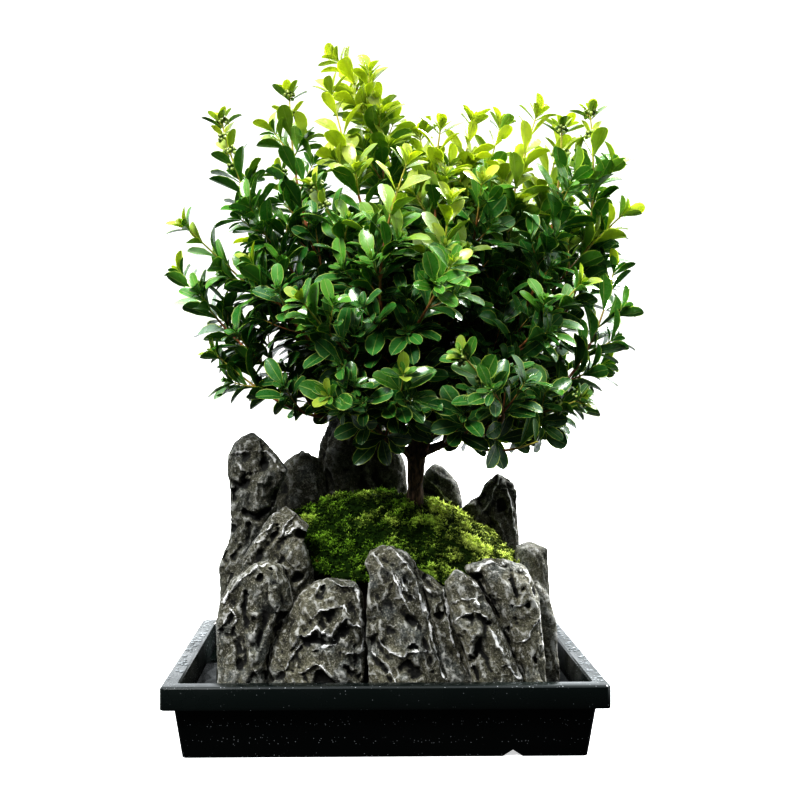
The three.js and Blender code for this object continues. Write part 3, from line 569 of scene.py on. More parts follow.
def make_water():
    """One still sheet with faint ripples, which runs up to the walls and through the stones' feet."""
    low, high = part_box("tray_water")
    x0, y0 = low.x / MM, low.y / MM
    x1, y1 = high.x / MM, high.y / MM
    columns, rows = round((x1 - x0) / WATER_PITCH), round((y1 - y0) / WATER_PITCH)
    xs, ys = np.linspace(x0, x1, columns + 1), np.linspace(y0, y1, rows + 1)
    top = np.array([(x, y, WATER_LEVEL) for y in ys for x in xs], float)
    for p in top:
        p[2] += sum(height * noise.noise(Vector(p) * scale) for height, scale in RIPPLES)
    bottom = top.copy()
    bottom[:, 2] = low.z / MM
    n = columns + 1
    quads = [(r * n + c, r * n + c + 1, (r + 1) * n + c + 1, (r + 1) * n + c)
             for r in range(rows) for c in range(columns)]
    count = len(top)
    edge = [c for c in range(n)] + [r * n + columns for r in range(1, rows + 1)]
    edge += [rows * n + c for c in range(columns - 1, -1, -1)]
    edge += [r * n for r in range(rows - 1, 0, -1)]
    walls = [(b + count, b2 + count, b2, b) for b, b2 in zip(edge, edge[1:] + edge[:1])]
    floor = [tuple(reversed([i + count for i in q])) for q in quads]
    triangles = [t for a, b, c, d in quads + walls + floor for t in ((a, b, c), (a, c, d))]
    water = new_piece("water", np.vstack([top, bottom]), triangles, math.radians(50))
    look = water_material("water", rgb(0.003, 0.005, 0.004), alpha=0.93, shine=0.03)
    dress(water, look, "water", "tray_water")


def dome(radius, squash, rings, sides):
    """A flattened ball: points round the origin and triangles."""
    points = [(0, 0, -radius * squash)]
    for r in range(1, rings):
        tilt = math.pi * r / rings
        for k in range(sides):
            turn = 2 * math.pi * k / sides
            flat = radius * math.sin(tilt)
            height = -radius * squash * math.cos(tilt)
            points.append((flat * math.cos(turn), flat * math.sin(turn), height))
    points.append((0, 0, radius * squash))
    last = len(points) - 1
    triangles = []
    for k in range(sides):
        j = (k + 1) % sides
        triangles.append((0, 1 + j, 1 + k))
        for r in range(rings - 2):
            a, b = 1 + r * sides, 1 + (r + 1) * sides
            triangles += [(a + k, a + j, b + j), (a + k, b + j, b + k)]
        top = 1 + (rings - 2) * sides
        triangles.append((top + k, top + j, last))
    return np.array(points), np.array(triangles)


# Drops on the rims: their number, their least and added radius, how flat and how stretched they are.
DROPS = {"count": 330, "least": 0.35, "added": 1.1, "squash": 0.45, "stretch": 0.8}


def make_droplets():
    """Drops of water that stand on the side rims and the back rim."""
    rim_middle = TRAY["rim"] / 2
    x_side, y_back = TRAY["width"] / 2, TRAY["depth"] / 2
    points, triangles, count = [], [], 0
    for k in range(DROPS["count"]):
        across = (draw(k, 1, 7) - 0.5) * (TRAY["rim"] - 4)
        side = k % 5
        if side < 4:
            x = (1 if side % 2 else -1) * (x_side - rim_middle + across)
            y = mix(-y_back + 12, y_back - 6, draw(k, 2, 7))
        else:
            x = mix(-x_side + 8, x_side - 8, draw(k, 2, 7))
            y = y_back - rim_middle + across
        size = DROPS["least"] + DROPS["added"] * draw(k, 3, 7) ** 3
        drop_points, drop_triangles = dome(size, DROPS["squash"], rings=3, sides=7)
        longer, wider = (1 + DROPS["stretch"] * draw(k, channel, 7) for channel in (4, 5))
        drop_points = drop_points * (longer, wider, 1)
        points.append(drop_points + (x, y, TRAY["height"] + 0.12 * size))
        triangles.append(drop_triangles + count)
        count += len(drop_points)
    drops = new_piece("rim_droplets", np.vstack(points), np.vstack(triangles))
    # The drops' pale grey colour is a painted glint.
    dress(drops, water_material("droplet", rgb(0.55, 0.58, 0.6), alpha=0.55, shine=0.5), "water")


# Stones: each one is remeshed, roughened along its grain, and carved on its front

STONE_VOXEL = 1.2
BACK_STONE_VOXEL = 1.8
BACK_STONES = [
    "stone_left_back", "stone_right_low", "stone_right_slab", "stone_back_left_low", "stone_back_peak",
    "stone_back_right",
]
STONE_CREASE = math.radians(42)
STONE_FOOT = 10  # height over which a stone's relief sets in
STONE_SHARE = 0.62  # of the triangles, which stay after thinning out
# How far the parts of a stone's grain move its surface, and how far they may do so in all.
ROUGHNESS = {"lobe": 2.2, "broad": 5, "small": 1.8, "ridge": 1.4, "fine": 0.7, "hole": 2.2}
ROUGHNESS_LIMITS = (-5, 2)
SIDE_LIMITS = (-1.6, 1.4)  # the same on the sides, which make the outline

# The way that each stone's ridges run, where it isn't the usual one.
USUAL_GRAIN = (0.32, 0.1, -0.94)
GRAIN = {
    "stone_front_gable": (0.55, 0, -0.83),
    "stone_front_left_low": (-0.3, 0, -0.95),
    "stone_front_left_high": (-0.6, 0, -0.8),
    "stone_left_pillar": (-0.45, 0.2, -0.87),
    "stone_back_right": (0.6, 0, -0.8),
}

# Carving on the fronts, as strokes seen from the front: kind, height, half width, and points (x, z).
# A crest rises to a sharp edge and is worn pale, a lobe is a rounded block, a groove is a lobe cut
# into the stone, and a pit is a hole with steep sides.
CARVING = {
    "stone_front_tall": [
        ("crest", 2.2, 2.5, [(-9, 136), (-2, 126)]),
        ("crest", 2.4, 3, [
            (9, 132), (15, 126), (19, 118), (22, 112), (26, 99), (31, 86), (35, 73), (38, 59), (42, 49),
        ]),
        ("crest", 2.0, 2, [(5, 122), (8, 115), (12, 108), (14, 100), (18, 95)]),
        ("crest", 1.8, 2, [(11, 118), (16, 110), (20, 105)]),
        ("groove", 3.4, 4, [(13, 95), (21, 85), (27, 74), (31, 60)]),
        ("lobe", 2.8, 6.5, [(-9, 99), (-7, 90), (-4, 80)]),
        ("crest", 2.0, 2.5, [(-4, 76), (3, 67), (11, 66), (19, 68), (28, 67)]),
        ("crest", 2.2, 2.5, [(-8, 66), (-3, 62), (3, 54), (8, 47)]),
        ("pit", 5, 2.6, [(18, 70.5), (21, 70)]),
        ("pit", 5, 6.5, [(14, 58), (19, 53)]),
        ("groove", 3, 3, [(-2, 58), (3, 49)]),
    ],
    "stone_front_narrow": [
        ("crest", 1.6, 2.5, [(37, 115), (42, 109), (45, 99), (46.5, 89)]),
        ("crest", 1.6, 2, [(29, 110), (33, 106)]),
        ("pit", 4.5, 4, [(36, 91), (40, 90)]),
        ("pit", 3, 1.5, [(28.5, 118)]),
        ("pit", 3, 1.4, [(39.5, 95)]),
        ("crest", 1.8, 2.5, [(45, 86), (46.5, 76), (51, 64), (57, 52)]),
    ],
    "stone_front_lobed": [
        ("crest", 2.0, 2.5, [(66, 112), (72, 104), (76, 93), (81, 82), (86, 71), (91, 58), (97, 47)]),
        ("crest", 1.6, 2, [(50, 123), (57, 116), (63, 112)]),
        ("lobe", 2.4, 7, [(55, 96), (61, 96)]),
        ("crest", 2.0, 2, [(49, 100), (52, 103), (57, 104), (62, 103), (64, 100)]),
        ("lobe", 3.4, 7.5, [(55, 84), (62, 84), (57, 74), (56, 68)]),
        ("crest", 2.4, 2.2, [(47.5, 86), (51, 90), (55, 94), (61, 95.5), (67, 94), (72, 90)]),
        ("crest", 1.6, 2, [(74, 82), (79.5, 69), (83.5, 60), (90, 52), (95, 48)]),
        ("pit", 3, 1.8, [(72.5, 86)]),
        ("pit", 4, 2.4, [(58.5, 64.5), (62, 66)]),
        ("groove", 4, 3, [(63, 55), (65, 49)]),
        ("crest", 1.8, 2.5, [(44, 86), (46, 77), (50, 65)]),
    ],
    "stone_front_round": [
        ("groove", 6, 4.5, [(64, 116), (68, 110), (74, 103), (79.5, 92), (85, 80), (91, 63)]),
        ("groove", 2.8, 1.8, [(87, 125), (89.5, 118), (89, 114), (91.5, 109), (93, 105)]),
        ("crest", 1.6, 2, [(64, 121), (70, 125), (78, 127), (88, 126), (96.5, 122)]),
        ("crest", 1.8, 2.2, [
            (97, 122), (101, 118), (104, 105), (106.5, 95), (107, 88), (110, 79), (110, 69),
        ]),
        ("crest", 1.4, 1.5, [(91.5, 98), (98, 99.5)]),
        ("crest", 1.6, 1.6, [(105, 86), (100.5, 80), (99, 76.5), (96, 75)]),
        ("pit", 5, 2.8, [(65.5, 115.5)]),
        ("pit", 3, 1.6, [(96, 108.5)]),
        ("pit", 4.5, 3.2, [(99.5, 98)]),
        ("pit", 4.5, 2.4, [(105.5, 108), (106, 104)]),
        ("pit", 3, 1.4, [(89.5, 97.5)]),
        ("pit", 3.5, 2, [(88, 80.5)]),
        ("pit", 4, 2.4, [(105, 60)]),
        ("pit", 4, 2, [(109, 75), (109, 71)]),
    ],
    "stone_front_gable": [
        ("crest", 3.2, 3, [
            (-47, 110), (-46, 114), (-40.5, 116.5), (-36, 114.5), (-29, 110.5), (-20, 112),
        ]),
        ("pit", 3, 2.2, [(-43, 111)]),
        ("crest", 2.6, 2.2, [(-48, 92), (-44, 96), (-29, 98), (-27, 95)]),
        ("crest", 3.0, 2.2, [
            (-62, 73), (-58.5, 79), (-54, 78), (-47, 86), (-44, 81), (-37, 78), (-28, 91), (-24, 87),
            (-18, 84.5),
        ]),
        ("groove", 3, 4, [(-50, 76), (-40, 71), (-28, 82)]),
        ("crest", 2.6, 2.2, [(-71, 54), (-68, 57), (-63, 65), (-58.5, 72)]),
        ("crest", 2.8, 2.2, [(-55, 55), (-47, 60.5), (-41.5, 55), (-33, 47)]),
        ("pit", 5, 6.5, [(-44, 49), (-36, 45)]),
        ("crest", 2.0, 2, [(-45, 70), (-37, 72)]),
        ("crest", 2.0, 2, [(-26, 66), (-20, 65), (-14, 67)]),
        ("groove", 3.5, 3, [(-28, 57), (-20, 49)]),
        ("crest", 2.0, 2.4, [(-20, 110), (-17, 98), (-15, 84), (-16, 68)]),
    ],
    "stone_front_left_low": [
        ("crest", 2.4, 2.6, [(-114, 99), (-105, 109), (-95, 120), (-87, 126), (-76, 127), (-70, 124)]),
        ("pit", 6, 3.6, [(-85.5, 116.5)]),
        ("pit", 3, 1.4, [(-78.5, 123)]),
        ("pit", 3, 1.5, [(-95, 106)]),
        ("groove", 2.6, 2, [(-96, 108), (-97.5, 92), (-94, 83)]),
        ("lobe", 3.6, 4.5, [(-76, 110), (-77, 102), (-73, 97)]),
        ("pit", 7, 5, [(-69, 90), (-75, 83)]),
        ("groove", 6, 4.5, [(-77, 77), (-79, 67), (-82, 50)]),
        ("lobe", 3.4, 5.5, [(-89, 91), (-92.5, 78), (-91, 66), (-89, 58)]),
        ("groove", 3, 2.5, [(-104, 82), (-101, 68), (-99, 56)]),
        ("crest", 2.2, 2, [(-112, 86), (-107, 96), (-103, 92), (-105, 84)]),
        ("groove", 2.4, 2, [(-114, 82), (-107, 78)]),
        ("crest", 2.4, 2, [(-88, 55), (-85, 49)]),
    ],
    "stone_front_left_high": [
        ("crest", 2.4, 3, [
            (-62, 165), (-70, 165), (-78, 161), (-82, 149), (-94, 140), (-103, 126), (-106, 112),
        ]),
        ("crest", 2.2, 2.6, [(-73, 144), (-68, 155), (-62, 162)]),
        ("crest", 2.6, 2.4, [(-69, 145), (-66, 148.5), (-60, 150), (-55, 148)]),
        ("pit", 6, 4.2, [(-60, 144.5), (-55, 144)]),
        ("groove", 3, 3.4, [(-76, 145), (-84.5, 135), (-93.5, 124)]),
        ("crest", 1.8, 2, [(-93.5, 138), (-85.5, 141.5), (-84, 144)]),
        ("lobe", 2.6, 4.5, [(-69, 134), (-65, 128), (-60, 122)]),
        ("pit", 5, 5.5, [(-62, 114)]),
        ("pit", 3, 1.5, [(-76.5, 152)]),
        ("pit", 3, 1.5, [(-75, 149)]),
    ],
    "stone_left_pillar": [
        ("crest", 2.4, 2.6, [(-109, 200), (-96, 202), (-87, 203), (-82, 198), (-76, 190)]),
        ("crest", 2.0, 2.4, [(-110, 196), (-104, 188)]),
        ("groove", 6, 6.5, [(-101, 178), (-94, 186), (-87, 192)]),
        ("lobe", 4, 8.5, [(-86, 186), (-93, 174), (-92, 163)]),
        ("groove", 6, 4, [(-103, 157), (-92, 153), (-84, 161), (-79, 172)]),
        ("groove", 4, 2.6, [(-113, 180), (-107, 177), (-109, 166)]),
        ("lobe", 3, 6, [(-104.5, 150), (-105, 138)]),
        ("pit", 5, 3, [(-117, 126), (-117, 121)]),
        ("pit", 3.5, 1.8, [(-110, 146), (-110, 143)]),
        ("groove", 4, 3, [(-98, 148), (-100, 138), (-110, 124)]),
        ("groove", 3, 3, [(-112, 110), (-113, 90)]),
    ],
    "stone_right_peak": [
        ("crest", 2.2, 2.6, [(94, 178), (88, 169), (86, 160), (80, 152), (75, 146)]),
        ("pit", 6, 4.6, [(94, 158), (94, 155)]),
        ("crest", 2.2, 2.4, [(86, 147), (92, 142), (95, 136)]),
        ("crest", 2.0, 2.4, [(100, 166), (103, 153), (105, 134)]),
        ("pit", 5, 3.4, [(84, 138)]),
        ("groove", 4, 3, [(78, 158), (80, 164)]),
        ("lobe", 3, 4, [(66, 157), (72, 158)]),
    ],
    "stone_back_right": [
        ("crest", 2.4, 2.6, [(36, 178), (45, 169), (52, 161), (60, 155)]),
        ("groove", 4, 3, [(36, 166), (43, 163), (47, 156)]),
    ],
}
LIT_WAY = np.array([-0.6, 0.8])  # the side of a stroke that the light falls on, seen from the front


def stroke_distance(points, line):
    """The signed distance of each point to a stroke, in its plane: positive on its lit side."""
    if len(line) == 1:
        return np.linalg.norm(points - np.array(line[0], float), axis=1)
    best = np.full(len(points), 1e9)
    for a, b in zip(line, line[1:]):
        a, b = np.array(a, float), np.array(b, float)
        way = b - a
        normal = unit(np.array([-way[1], way[0]]))
        normal = normal * np.sign(normal @ LIT_WAY or 1)
        share = np.clip((points - a) @ way / (way @ way), 0, 1)
        gap = points - a - share[:, None] * way
        distance = np.linalg.norm(gap, axis=1) * np.where(gap @ normal < 0, -1, 1)
        best = np.where(np.abs(distance) < np.abs(best), distance, best)
    return best


def fade(value, start, end):
    """From 0 at start to 1 at end, smoothly."""
    t = np.clip((value - start) / (end - start), 0, 1)
    return t * t * (3 - 2 * t)


def carved(name, points, facing):
    """How far the carving of a stone's front moves each point out, and the distance to its crests."""
    moved, near = np.zeros(len(points)), np.zeros(len(points))
    line = np.full(len(points), 9.0)
    wander = np.array([
        noise.noise_vector(Vector(p) * 0.11) * 1.9 + noise.noise_vector(Vector(p) * 0.35) * 0.9
        for p in points
    ])
    flat = points[:, [0, 2]] + wander[:, [0, 2]]
    strength = 1 + 0.5 * wander[:, 1]
    for kind, height, half, stroke in CARVING.get(name, []):
        signed = stroke_distance(flat, stroke)
        distance = np.abs(signed)
        if kind == "crest":
            drop = fade(signed, 0.5, -1.5) * fade(distance, 11, 2)
            moved += (0.9 * height * np.exp(-distance / half) - 0.55 * height * drop) * strength
            closer = distance < np.abs(line)
            line = np.where(closer, signed, line)
            near = np.maximum(near, fade(distance, 3.5, 2))
        elif kind == "lobe":
            moved += height * fade(distance, half, half * 0.45) * strength
        elif kind == "groove":
            moved -= 0.8 * height * fade(distance, half, half * 0.2) * strength
        else:
            moved -= 0.8 * height * fade(distance, half, half * 0.5)
    return moved * facing, line, near * facing


def facets(place):
    """Height of tilted planes, one to a cell, that meet in sharp edges and small steps."""
    distances, centres = noise.voronoi(place)
    heights = []
    for centre in centres[:2]:
        tilt = noise.cell_vector(centre * 31.7) - Vector((0.5, 0.5, 0.5))
        heights.append((place - centre).dot(tilt))
    share = 0.5 + 0.5 * min(1.0, (distances[1] - distances[0]) / 0.1)
    return mix(heights[1], heights[0], share)


def roughened(points, seed, run):
    """How far a stone's own grain moves each point out: tilted facets, ridges and a few holes."""
    run = unit(np.array(run, float))
    squeezed = points - np.outer(points @ run, run) * 0.6
    shift = Vector((seed * 37.1, seed * 17.3, seed * 53.7))
    moved = np.empty(len(points))
    for i, (p, q) in enumerate(zip(points, squeezed)):
        p, q = Vector(p), Vector(q)
        warp = noise.noise_vector(p * 0.07 + shift)
        lobe = noise.noise(p * 0.03 + shift)
        broad = facets(q * 0.055 + warp * 0.35 + shift)
        small = facets(q * 0.15 + warp * 0.5 - shift)
        ridge = 1 - 2 * abs(noise.noise(q * 0.13 + warp * 0.5 + shift))
        fine = 1 - 2 * abs(noise.noise(p * 0.33 + warp + shift))
        hole = 1 - noise.voronoi(p * 0.06 + warp * 0.25 + shift)[0][0] / 0.13
        moved[i] = (
            ROUGHNESS["lobe"] * lobe + ROUGHNESS["broad"] * broad + ROUGHNESS["small"] * small
            + ROUGHNESS["ridge"] * (ridge - 0.6) + ROUGHNESS["fine"] * (fine - 0.6)
        )
        moved[i] -= ROUGHNESS["hole"] * min(1.0, max(0.0, 2 * hole))
    return moved


def neighbour_mean(points, edges, degree):
    """The mean of each point's neighbours."""
    a, b = edges[:, 0], edges[:, 1]
    sums = [
        np.bincount(a, points[b, axis], len(points)) + np.bincount(b, points[a, axis], len(points))
        for axis in range(3)
    ]
    return np.stack(sums, axis=1) / degree[:, None]


def standing_out(mesh, rounds):
    """How far each point stands out from the surface smoothed over so many rounds."""
    points, normals = read_points(mesh), read_normals(mesh)
    edges = np.empty(len(mesh.edges) * 2, np.int32)
    mesh.edges.foreach_get("vertices", edges)
    edges = edges.reshape(-1, 2)
    degree = np.maximum(np.bincount(edges.ravel(), minlength=len(points)), 1)
    smooth = points.astype(float)
    for _ in range(rounds):
        smooth = neighbour_mean(smooth, edges, degree)
    return ((points - smooth) * normals).sum(axis=1)


def make_stone(name, seed, material):
    """A stone nearly keeps the solid's outline as seen from the front, and its foot stays in place."""
    piece = copy_of(name, name + "_weathered")
    remesh(piece, BACK_STONE_VOXEL if name in BACK_STONES else STONE_VOXEL, smoothing=5)
    points, normals = read_points(piece.data), read_normals(piece.data)
    grounded = fade(points[:, 2] - points[:, 2].min(), 0, STONE_FOOT)
    moved = np.clip(roughened(points, seed, GRAIN.get(name, USUAL_GRAIN)), *ROUGHNESS_LIMITS)
    sideways = fade(np.abs(normals[:, 1]), 0.55, 0.2)
    moved = mix(moved, np.clip(moved * 0.5, *SIDE_LIMITS) + 0.5, sideways)
    facing = fade(-normals[:, 1], 0.05, 0.5)
    carving, line, near = carved(name, points, facing)
    places = points + normals * (moved * grounded)[:, None]
    places[:, 1] -= carving * grounded
    write_points(piece.data, places)
    add_attribute(piece.data, "edge", np.clip(standing_out(piece.data, 4) / 0.35, -1, 1))
    add_attribute(piece.data, "relief", np.clip(standing_out(piece.data, 30) / 2.2, -1, 1))
    add_attribute(piece.data, "line", np.clip(line, -3, 3))
    add_attribute(piece.data, "near", near)
    thin_out(piece, STONE_SHARE)
    piece.data.set_sharp_from_angle(angle=STONE_CREASE)
    dress(piece, material, "limestone", name)


def make_stones():
    material = stone_material()
    names = sorted(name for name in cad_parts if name.startswith("stone_"))
    for seed, name in enumerate(names, 1):
        make_stone(name, seed, material)


# Soil, moss and wood

MOSS_VOXEL = 2.0
MOSS_HUMP = 4.4  # height of its large cushions
MOSS_LUMP = 2.4  # height of the small ones on them
MOSS_TUFTS = 9000
SPIKES = 4  # to a tuft
SHOOT_PIECES = 2  # so that each piece stays small
BARK_VOXEL = 0.95
BARK_SHARE = 0.6  # of the triangles, which stay after thinning out


def make_soil():
    """The CAD's own soil stays, and only gets its material."""
    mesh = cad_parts["soil_bed"].data
    mesh.materials.clear()
    mesh.materials.append(soil_material())


def moss_swell(p):
    """How far the moss stands out at a point: round cushions of two sizes, with gaps between them."""
    warp = noise.noise_vector(p * 0.06) * 0.35
    large = noise.voronoi(Vector((p.x * 0.045, p.y * 0.06, p.z * 0.05)) + warp)[0]
    small = noise.voronoi(p * 0.13 + warp)[0]
    hump = min(1.0, 1.6 * (large[1] - large[0]))
    lump = min(1.0, 1.8 * (small[1] - small[0]))
    return MOSS_HUMP * (hump - 0.75) + MOSS_LUMP * (lump - 0.6)


def make_moss():
    material = moss_material()
    piece = copy_of("moss_cushion", "moss_bed")
    remesh(piece, MOSS_VOXEL, smoothing=3)
    points, normals = read_points(piece.data), read_normals(piece.data)
    swell = np.array([moss_swell(Vector(p)) for p in points])
    upward = np.clip(normals[:, 2] * 2, 0, 1)
    points = points + normals * (swell * upward)[:, None]
    write_points(piece.data, points)
    # Painted shade: the bed is darker where it swells less, in the hollows.
    add_attribute(piece.data, "tip", np.clip(0.2 + 0.09 * swell, 0.02, 0.5))
    dress(piece, material, "moss", "moss_cushion")
    make_moss_shoots(piece.data, points, swell, material)


def make_moss_shoots(bed, points, swell, material):
    """Tufts of small spikes on the upper and front faces of the moss, with painted shade that darkens them
    in the hollows between cushions and at their feet.
    """
    rng = np.random.default_rng(5)
    normals = read_normals(bed)
    open_faces = np.flatnonzero(normals @ np.array([0, -0.55, 0.83]) > 0.2)
    chosen = rng.choice(open_faces, MOSS_TUFTS)
    height = np.repeat(swell[chosen], SPIKES)
    root = np.repeat(points[chosen] + rng.normal(0, 0.9, (MOSS_TUFTS, 3)), SPIKES, axis=0)
    normal = np.repeat(normals[chosen], SPIKES, axis=0)
    count = len(root)
    root = root - normal * 0.6
    way = normal + rng.normal(0, 0.7, (count, 3)) + np.array([0, 0, 0.4])
    way /= np.linalg.norm(way, axis=1)[:, None]
    length = rng.uniform(2.0, 3.8, count) * np.clip(1 + 0.1 * height, 0.5, 1.25)
    side = np.cross(way, rng.normal(0, 1, (count, 3)))
    side /= np.linalg.norm(side, axis=1)[:, None]
    other = np.cross(way, side)
    half = rng.uniform(0.4, 0.7, count)[:, None]
    corners = []
    for turn in (0, 2 * math.pi / 3, 4 * math.pi / 3):
        corners.append(root + way * 0.8 + half * around(side, other, turn))
    tips = root + way * length[:, None]
    verts = np.stack([*corners, tips], axis=1)
    shape = np.array([[0, 1, 3], [1, 2, 3], [2, 0, 3], [1, 0, 2]])
    tuft_light = np.repeat(rng.uniform(0.5, 1.15, MOSS_TUFTS), SPIKES)
    # Painted shade: tufts are darker in the hollows, and each is at random brighter or darker.
    light = np.clip(0.66 + 0.16 * height, 0.06, 1) * tuft_light * rng.uniform(0.75, 1.2, count)
    for part in range(SHOOT_PIECES):
        own = slice(part * count // SHOOT_PIECES, (part + 1) * count // SHOOT_PIECES)
        bright = np.clip(light[own], 0, 1)
        faces = shape[None] + np.arange(len(bright))[:, None, None] * 4
        shoots = new_piece(f"moss_shoots_{part + 1}", verts[own].reshape(-1, 3), faces.reshape(-1, 3))
        # Painted shade at the foot of each spike.
        shades = np.stack([0.55 * bright, 0.55 * bright, 0.55 * bright, bright], axis=1)
        add_attribute(shoots.data, "tip", shades.ravel())
        dress(shoots, material, "moss")


def make_wood():
    piece = copy_of("trunk_and_limbs", "trunk_bark")
    remesh(piece, BARK_VOXEL, smoothing=3)
    points, normals = read_points(piece.data), read_normals(piece.data)
    relief = np.empty(len(points))
    moved = np.empty(len(points))
    for i, p in enumerate(points):
        drawn_out = Vector((p[0] * 0.3, p[1] * 0.3, p[2] * 0.075))
        fissure = noise.ridged_multi_fractal(drawn_out, 0.8, 2.2, 4, 1.0, 2.0)
        knob = noise.noise(Vector(p) * 0.14)
        relief[i] = 1.0 - fissure
        moved[i] = -0.55 * (fissure - 0.9) + 0.7 * knob
    distance = np.hypot(points[:, 0] - TRUNK["x"], points[:, 1] - TRUNK["y"])
    stout = np.clip(1.4 - distance / 40, 0.25, 1) * np.clip((240 - points[:, 2]) / 40, 0.35, 1)
    write_points(piece.data, points + normals * (moved * stout)[:, None])
    add_attribute(piece.data, "relief", np.clip(relief * stout, -1, 1))
    thin_out(piece, BARK_SHARE)
    dress(piece, bark_material(), "bark", "trunk_and_limbs")


# Sprays

class Bend:
    """A bent line in one plane."""

    def __init__(self, start, via, end):
        self.start, self.via, self.end = (np.array(p, float) for p in (start, via, end))
        normal = np.cross(self.via - self.start, self.end - self.via)
        if np.linalg.norm(normal) < 1:
            normal = np.array([0.0, -1.0, 0.0])
        self.normal = unit(normal)
        steps = np.array([self.point(u) for u in np.linspace(0, 1, 60)])
        self.length = np.linalg.norm(np.diff(steps, axis=0), axis=1).sum()

    def point(self, u):
        return self.start * (1 - u) ** 2 + self.via * 2 * u * (1 - u) + self.end * u ** 2

    def along(self, u):
        return unit((self.via - self.start) * (1 - u) + (self.end - self.via) * u)

    def axes(self, u):
        """The two directions across the line: in its plane, and out of it."""
        along = self.along(u)
        side = unit(np.cross(self.normal, along))
        return side, np.cross(along, side)


def leader_at(z):
    rise = max(0, z - TRUNK["ground"])
    return np.array([TRUNK["x"] + TRUNK["lean"][0] * rise, TRUNK["y"] + TRUNK["lean"][1] * rise, z])


def limb_bend(name):
    height, via, end, _ = LIMBS[name]
    return Bend(leader_at(height), via, end)


def limb_radius(name, u):
    return mix(*LIMBS[name][3], u)


def spray_bend(limb, at, tip, marks):
    carrier = limb_bend(limb)
    along = carrier.along(at)
    start = carrier.point(at)
    tip = np.array(tip, float)
    reach = np.linalg.norm(tip - start)
    outward = tip - start
    outward = unit(outward - along * (outward @ along))
    heading = along
    if at < 1:
        start = start + outward * (limb_radius(limb, at) + CLEARANCE)
        heading = along * 0.7 + outward * 0.7
    else:
        start = start + along * CLEARANCE
    via = marks.get("via", start + heading * 0.4 * reach)
    return Bend(start, via, tip)


class Room:
    """Points that leaves stay clear of, kept in cells."""

    CELL = 6.0  # no point keeps leaves further away

    def __init__(self):
        self.cells = {}

    def claim(self, point, room, owner):
        key = tuple(int(math.floor(c / self.CELL)) for c in point)
        self.cells.setdefault(key, []).append((point[0], point[1], point[2], room, owner))

    def is_free(self, points, owner, own_share=0.62):
        for x, y, z in points:
            cx, cy, cz = (int(math.floor(c / self.CELL)) for c in (x, y, z))
            for i, j, k in itertools.product((-1, 0, 1), repeat=3):
                for px, py, pz, room, theirs in self.cells.get((cx + i, cy + j, cz + k), ()):
                    reach = room * own_share if theirs == owner else room
                    if (px - x) ** 2 + (py - y) ** 2 + (pz - z) ** 2 < reach * reach:
                        return False
        return True


room = Room()


class Spray:
    """The points, triangles and attributes of one leafy piece."""

    def __init__(self):
        self.points, self.triangles, self.count = [], [], 0
        self.values = {name: [] for name in ("along", "across", "age", "tint", "kind")}
        self.under = []

    def add(self, points, triangles, under=0.0, **values):
        self.points.append(points)
        self.triangles.append(np.asarray(triangles) + self.count)
        self.count += len(points)
        self.under.append(np.broadcast_to(np.asarray(under, float), len(triangles)))
        for name, store in self.values.items():
            store.append(np.broadcast_to(np.asarray(values.get(name, 0.0), float), len(points)))

    def piece(self, name):
        made = new_piece(name, np.vstack(self.points), np.vstack(self.triangles), math.radians(75))
        for key, store in self.values.items():
            add_attribute(made.data, key, np.concatenate(store))
        add_attribute(made.data, "under", np.concatenate(self.under), "FACE")
        return made


def leaf_topology():
    """Triangles of a leaf, and which of them are on its underside."""
    columns, rows = len(LEAF_COLUMNS), len(LEAF_OUTLINE)
    tip = rows * columns
    below = tip + 1  # the first point of the midrib below
    top, under = [], []
    for r in range(rows - 1):
        for c in range(columns - 1):
            a, b = r * columns + c, (r + 1) * columns + c
            top += [(a, a + 1, b + 1), (a, b + 1, b)]
        left, right = r * columns, r * columns + columns - 1
        next_left, next_right = left + columns, right + columns
        rib, next_rib = below + r, below + r + 1
        under += [(left, next_left, next_rib), (left, next_rib, rib)]
        under += [(rib, next_rib, next_right), (rib, next_right, right)]
    last = (rows - 1) * columns
    top += [(last + c, last + c + 1, tip) for c in range(columns - 1)]
    under += [(last, tip, below + rows - 1), (below + rows - 1, tip, last + columns - 1)]
    under += [(c + 1, c, below) for c in range(columns - 1)]
    flags = [0.0] * len(top) + [1.0] * len(under)
    return np.array(top + under), np.array(flags)


LEAF_TRIANGLES, LEAF_UNDER = leaf_topology()
SHARES = np.array([share for share, _ in LEAF_OUTLINE])
WIDTHS = np.array([width for _, width in LEAF_OUTLINE])


def leaf_points(leaf):
    """The points of one leaf: its upper face row by row, its tip, and the midrib below."""
    columns = np.array(LEAF_COLUMNS)
    share = np.repeat(SHARES, len(columns))
    width = np.repeat(WIDTHS, len(columns)) * leaf["half"]
    across = np.tile(columns, len(SHARES))
    wave = leaf["wave"] * np.sin(share * 9 + leaf["phase"]) * np.abs(across) * width
    lift = -leaf["curl"] * leaf["length"] * share ** 2
    lift = lift + leaf["fold"] * np.abs(across) * width + wave
    tip_lift = -leaf["curl"] * leaf["length"]
    thickness = LEAF["thickness"] * (0.35 + 0.65 * np.sin(np.pi * np.clip(SHARES + 0.12, 0, 1)))
    rib_lift = -leaf["curl"] * leaf["length"] * SHARES ** 2 - thickness
    share = np.concatenate([share, [1.0], SHARES])
    offset = np.concatenate([across * width, [0.0], np.zeros(len(SHARES))])
    lift = np.concatenate([lift, [tip_lift], rib_lift])
    out = leaf["out"] * leaf["length"]
    points = leaf["root"] + share[:, None] * out
    points = points + offset[:, None] * leaf["across"] + lift[:, None] * leaf["up"]
    return points, share, np.concatenate([across, [0.0], np.zeros(len(SHARES))])


# Where a leaf is tested for room: share of its length, and of its half width.
LEAF_TESTS = [
    (0.35, -0.6), (0.35, 0.6), (0.6, -0.7), (0.6, 0), (0.6, 0.7), (0.85, -0.45), (0.85, 0.45), (1, 0),
]


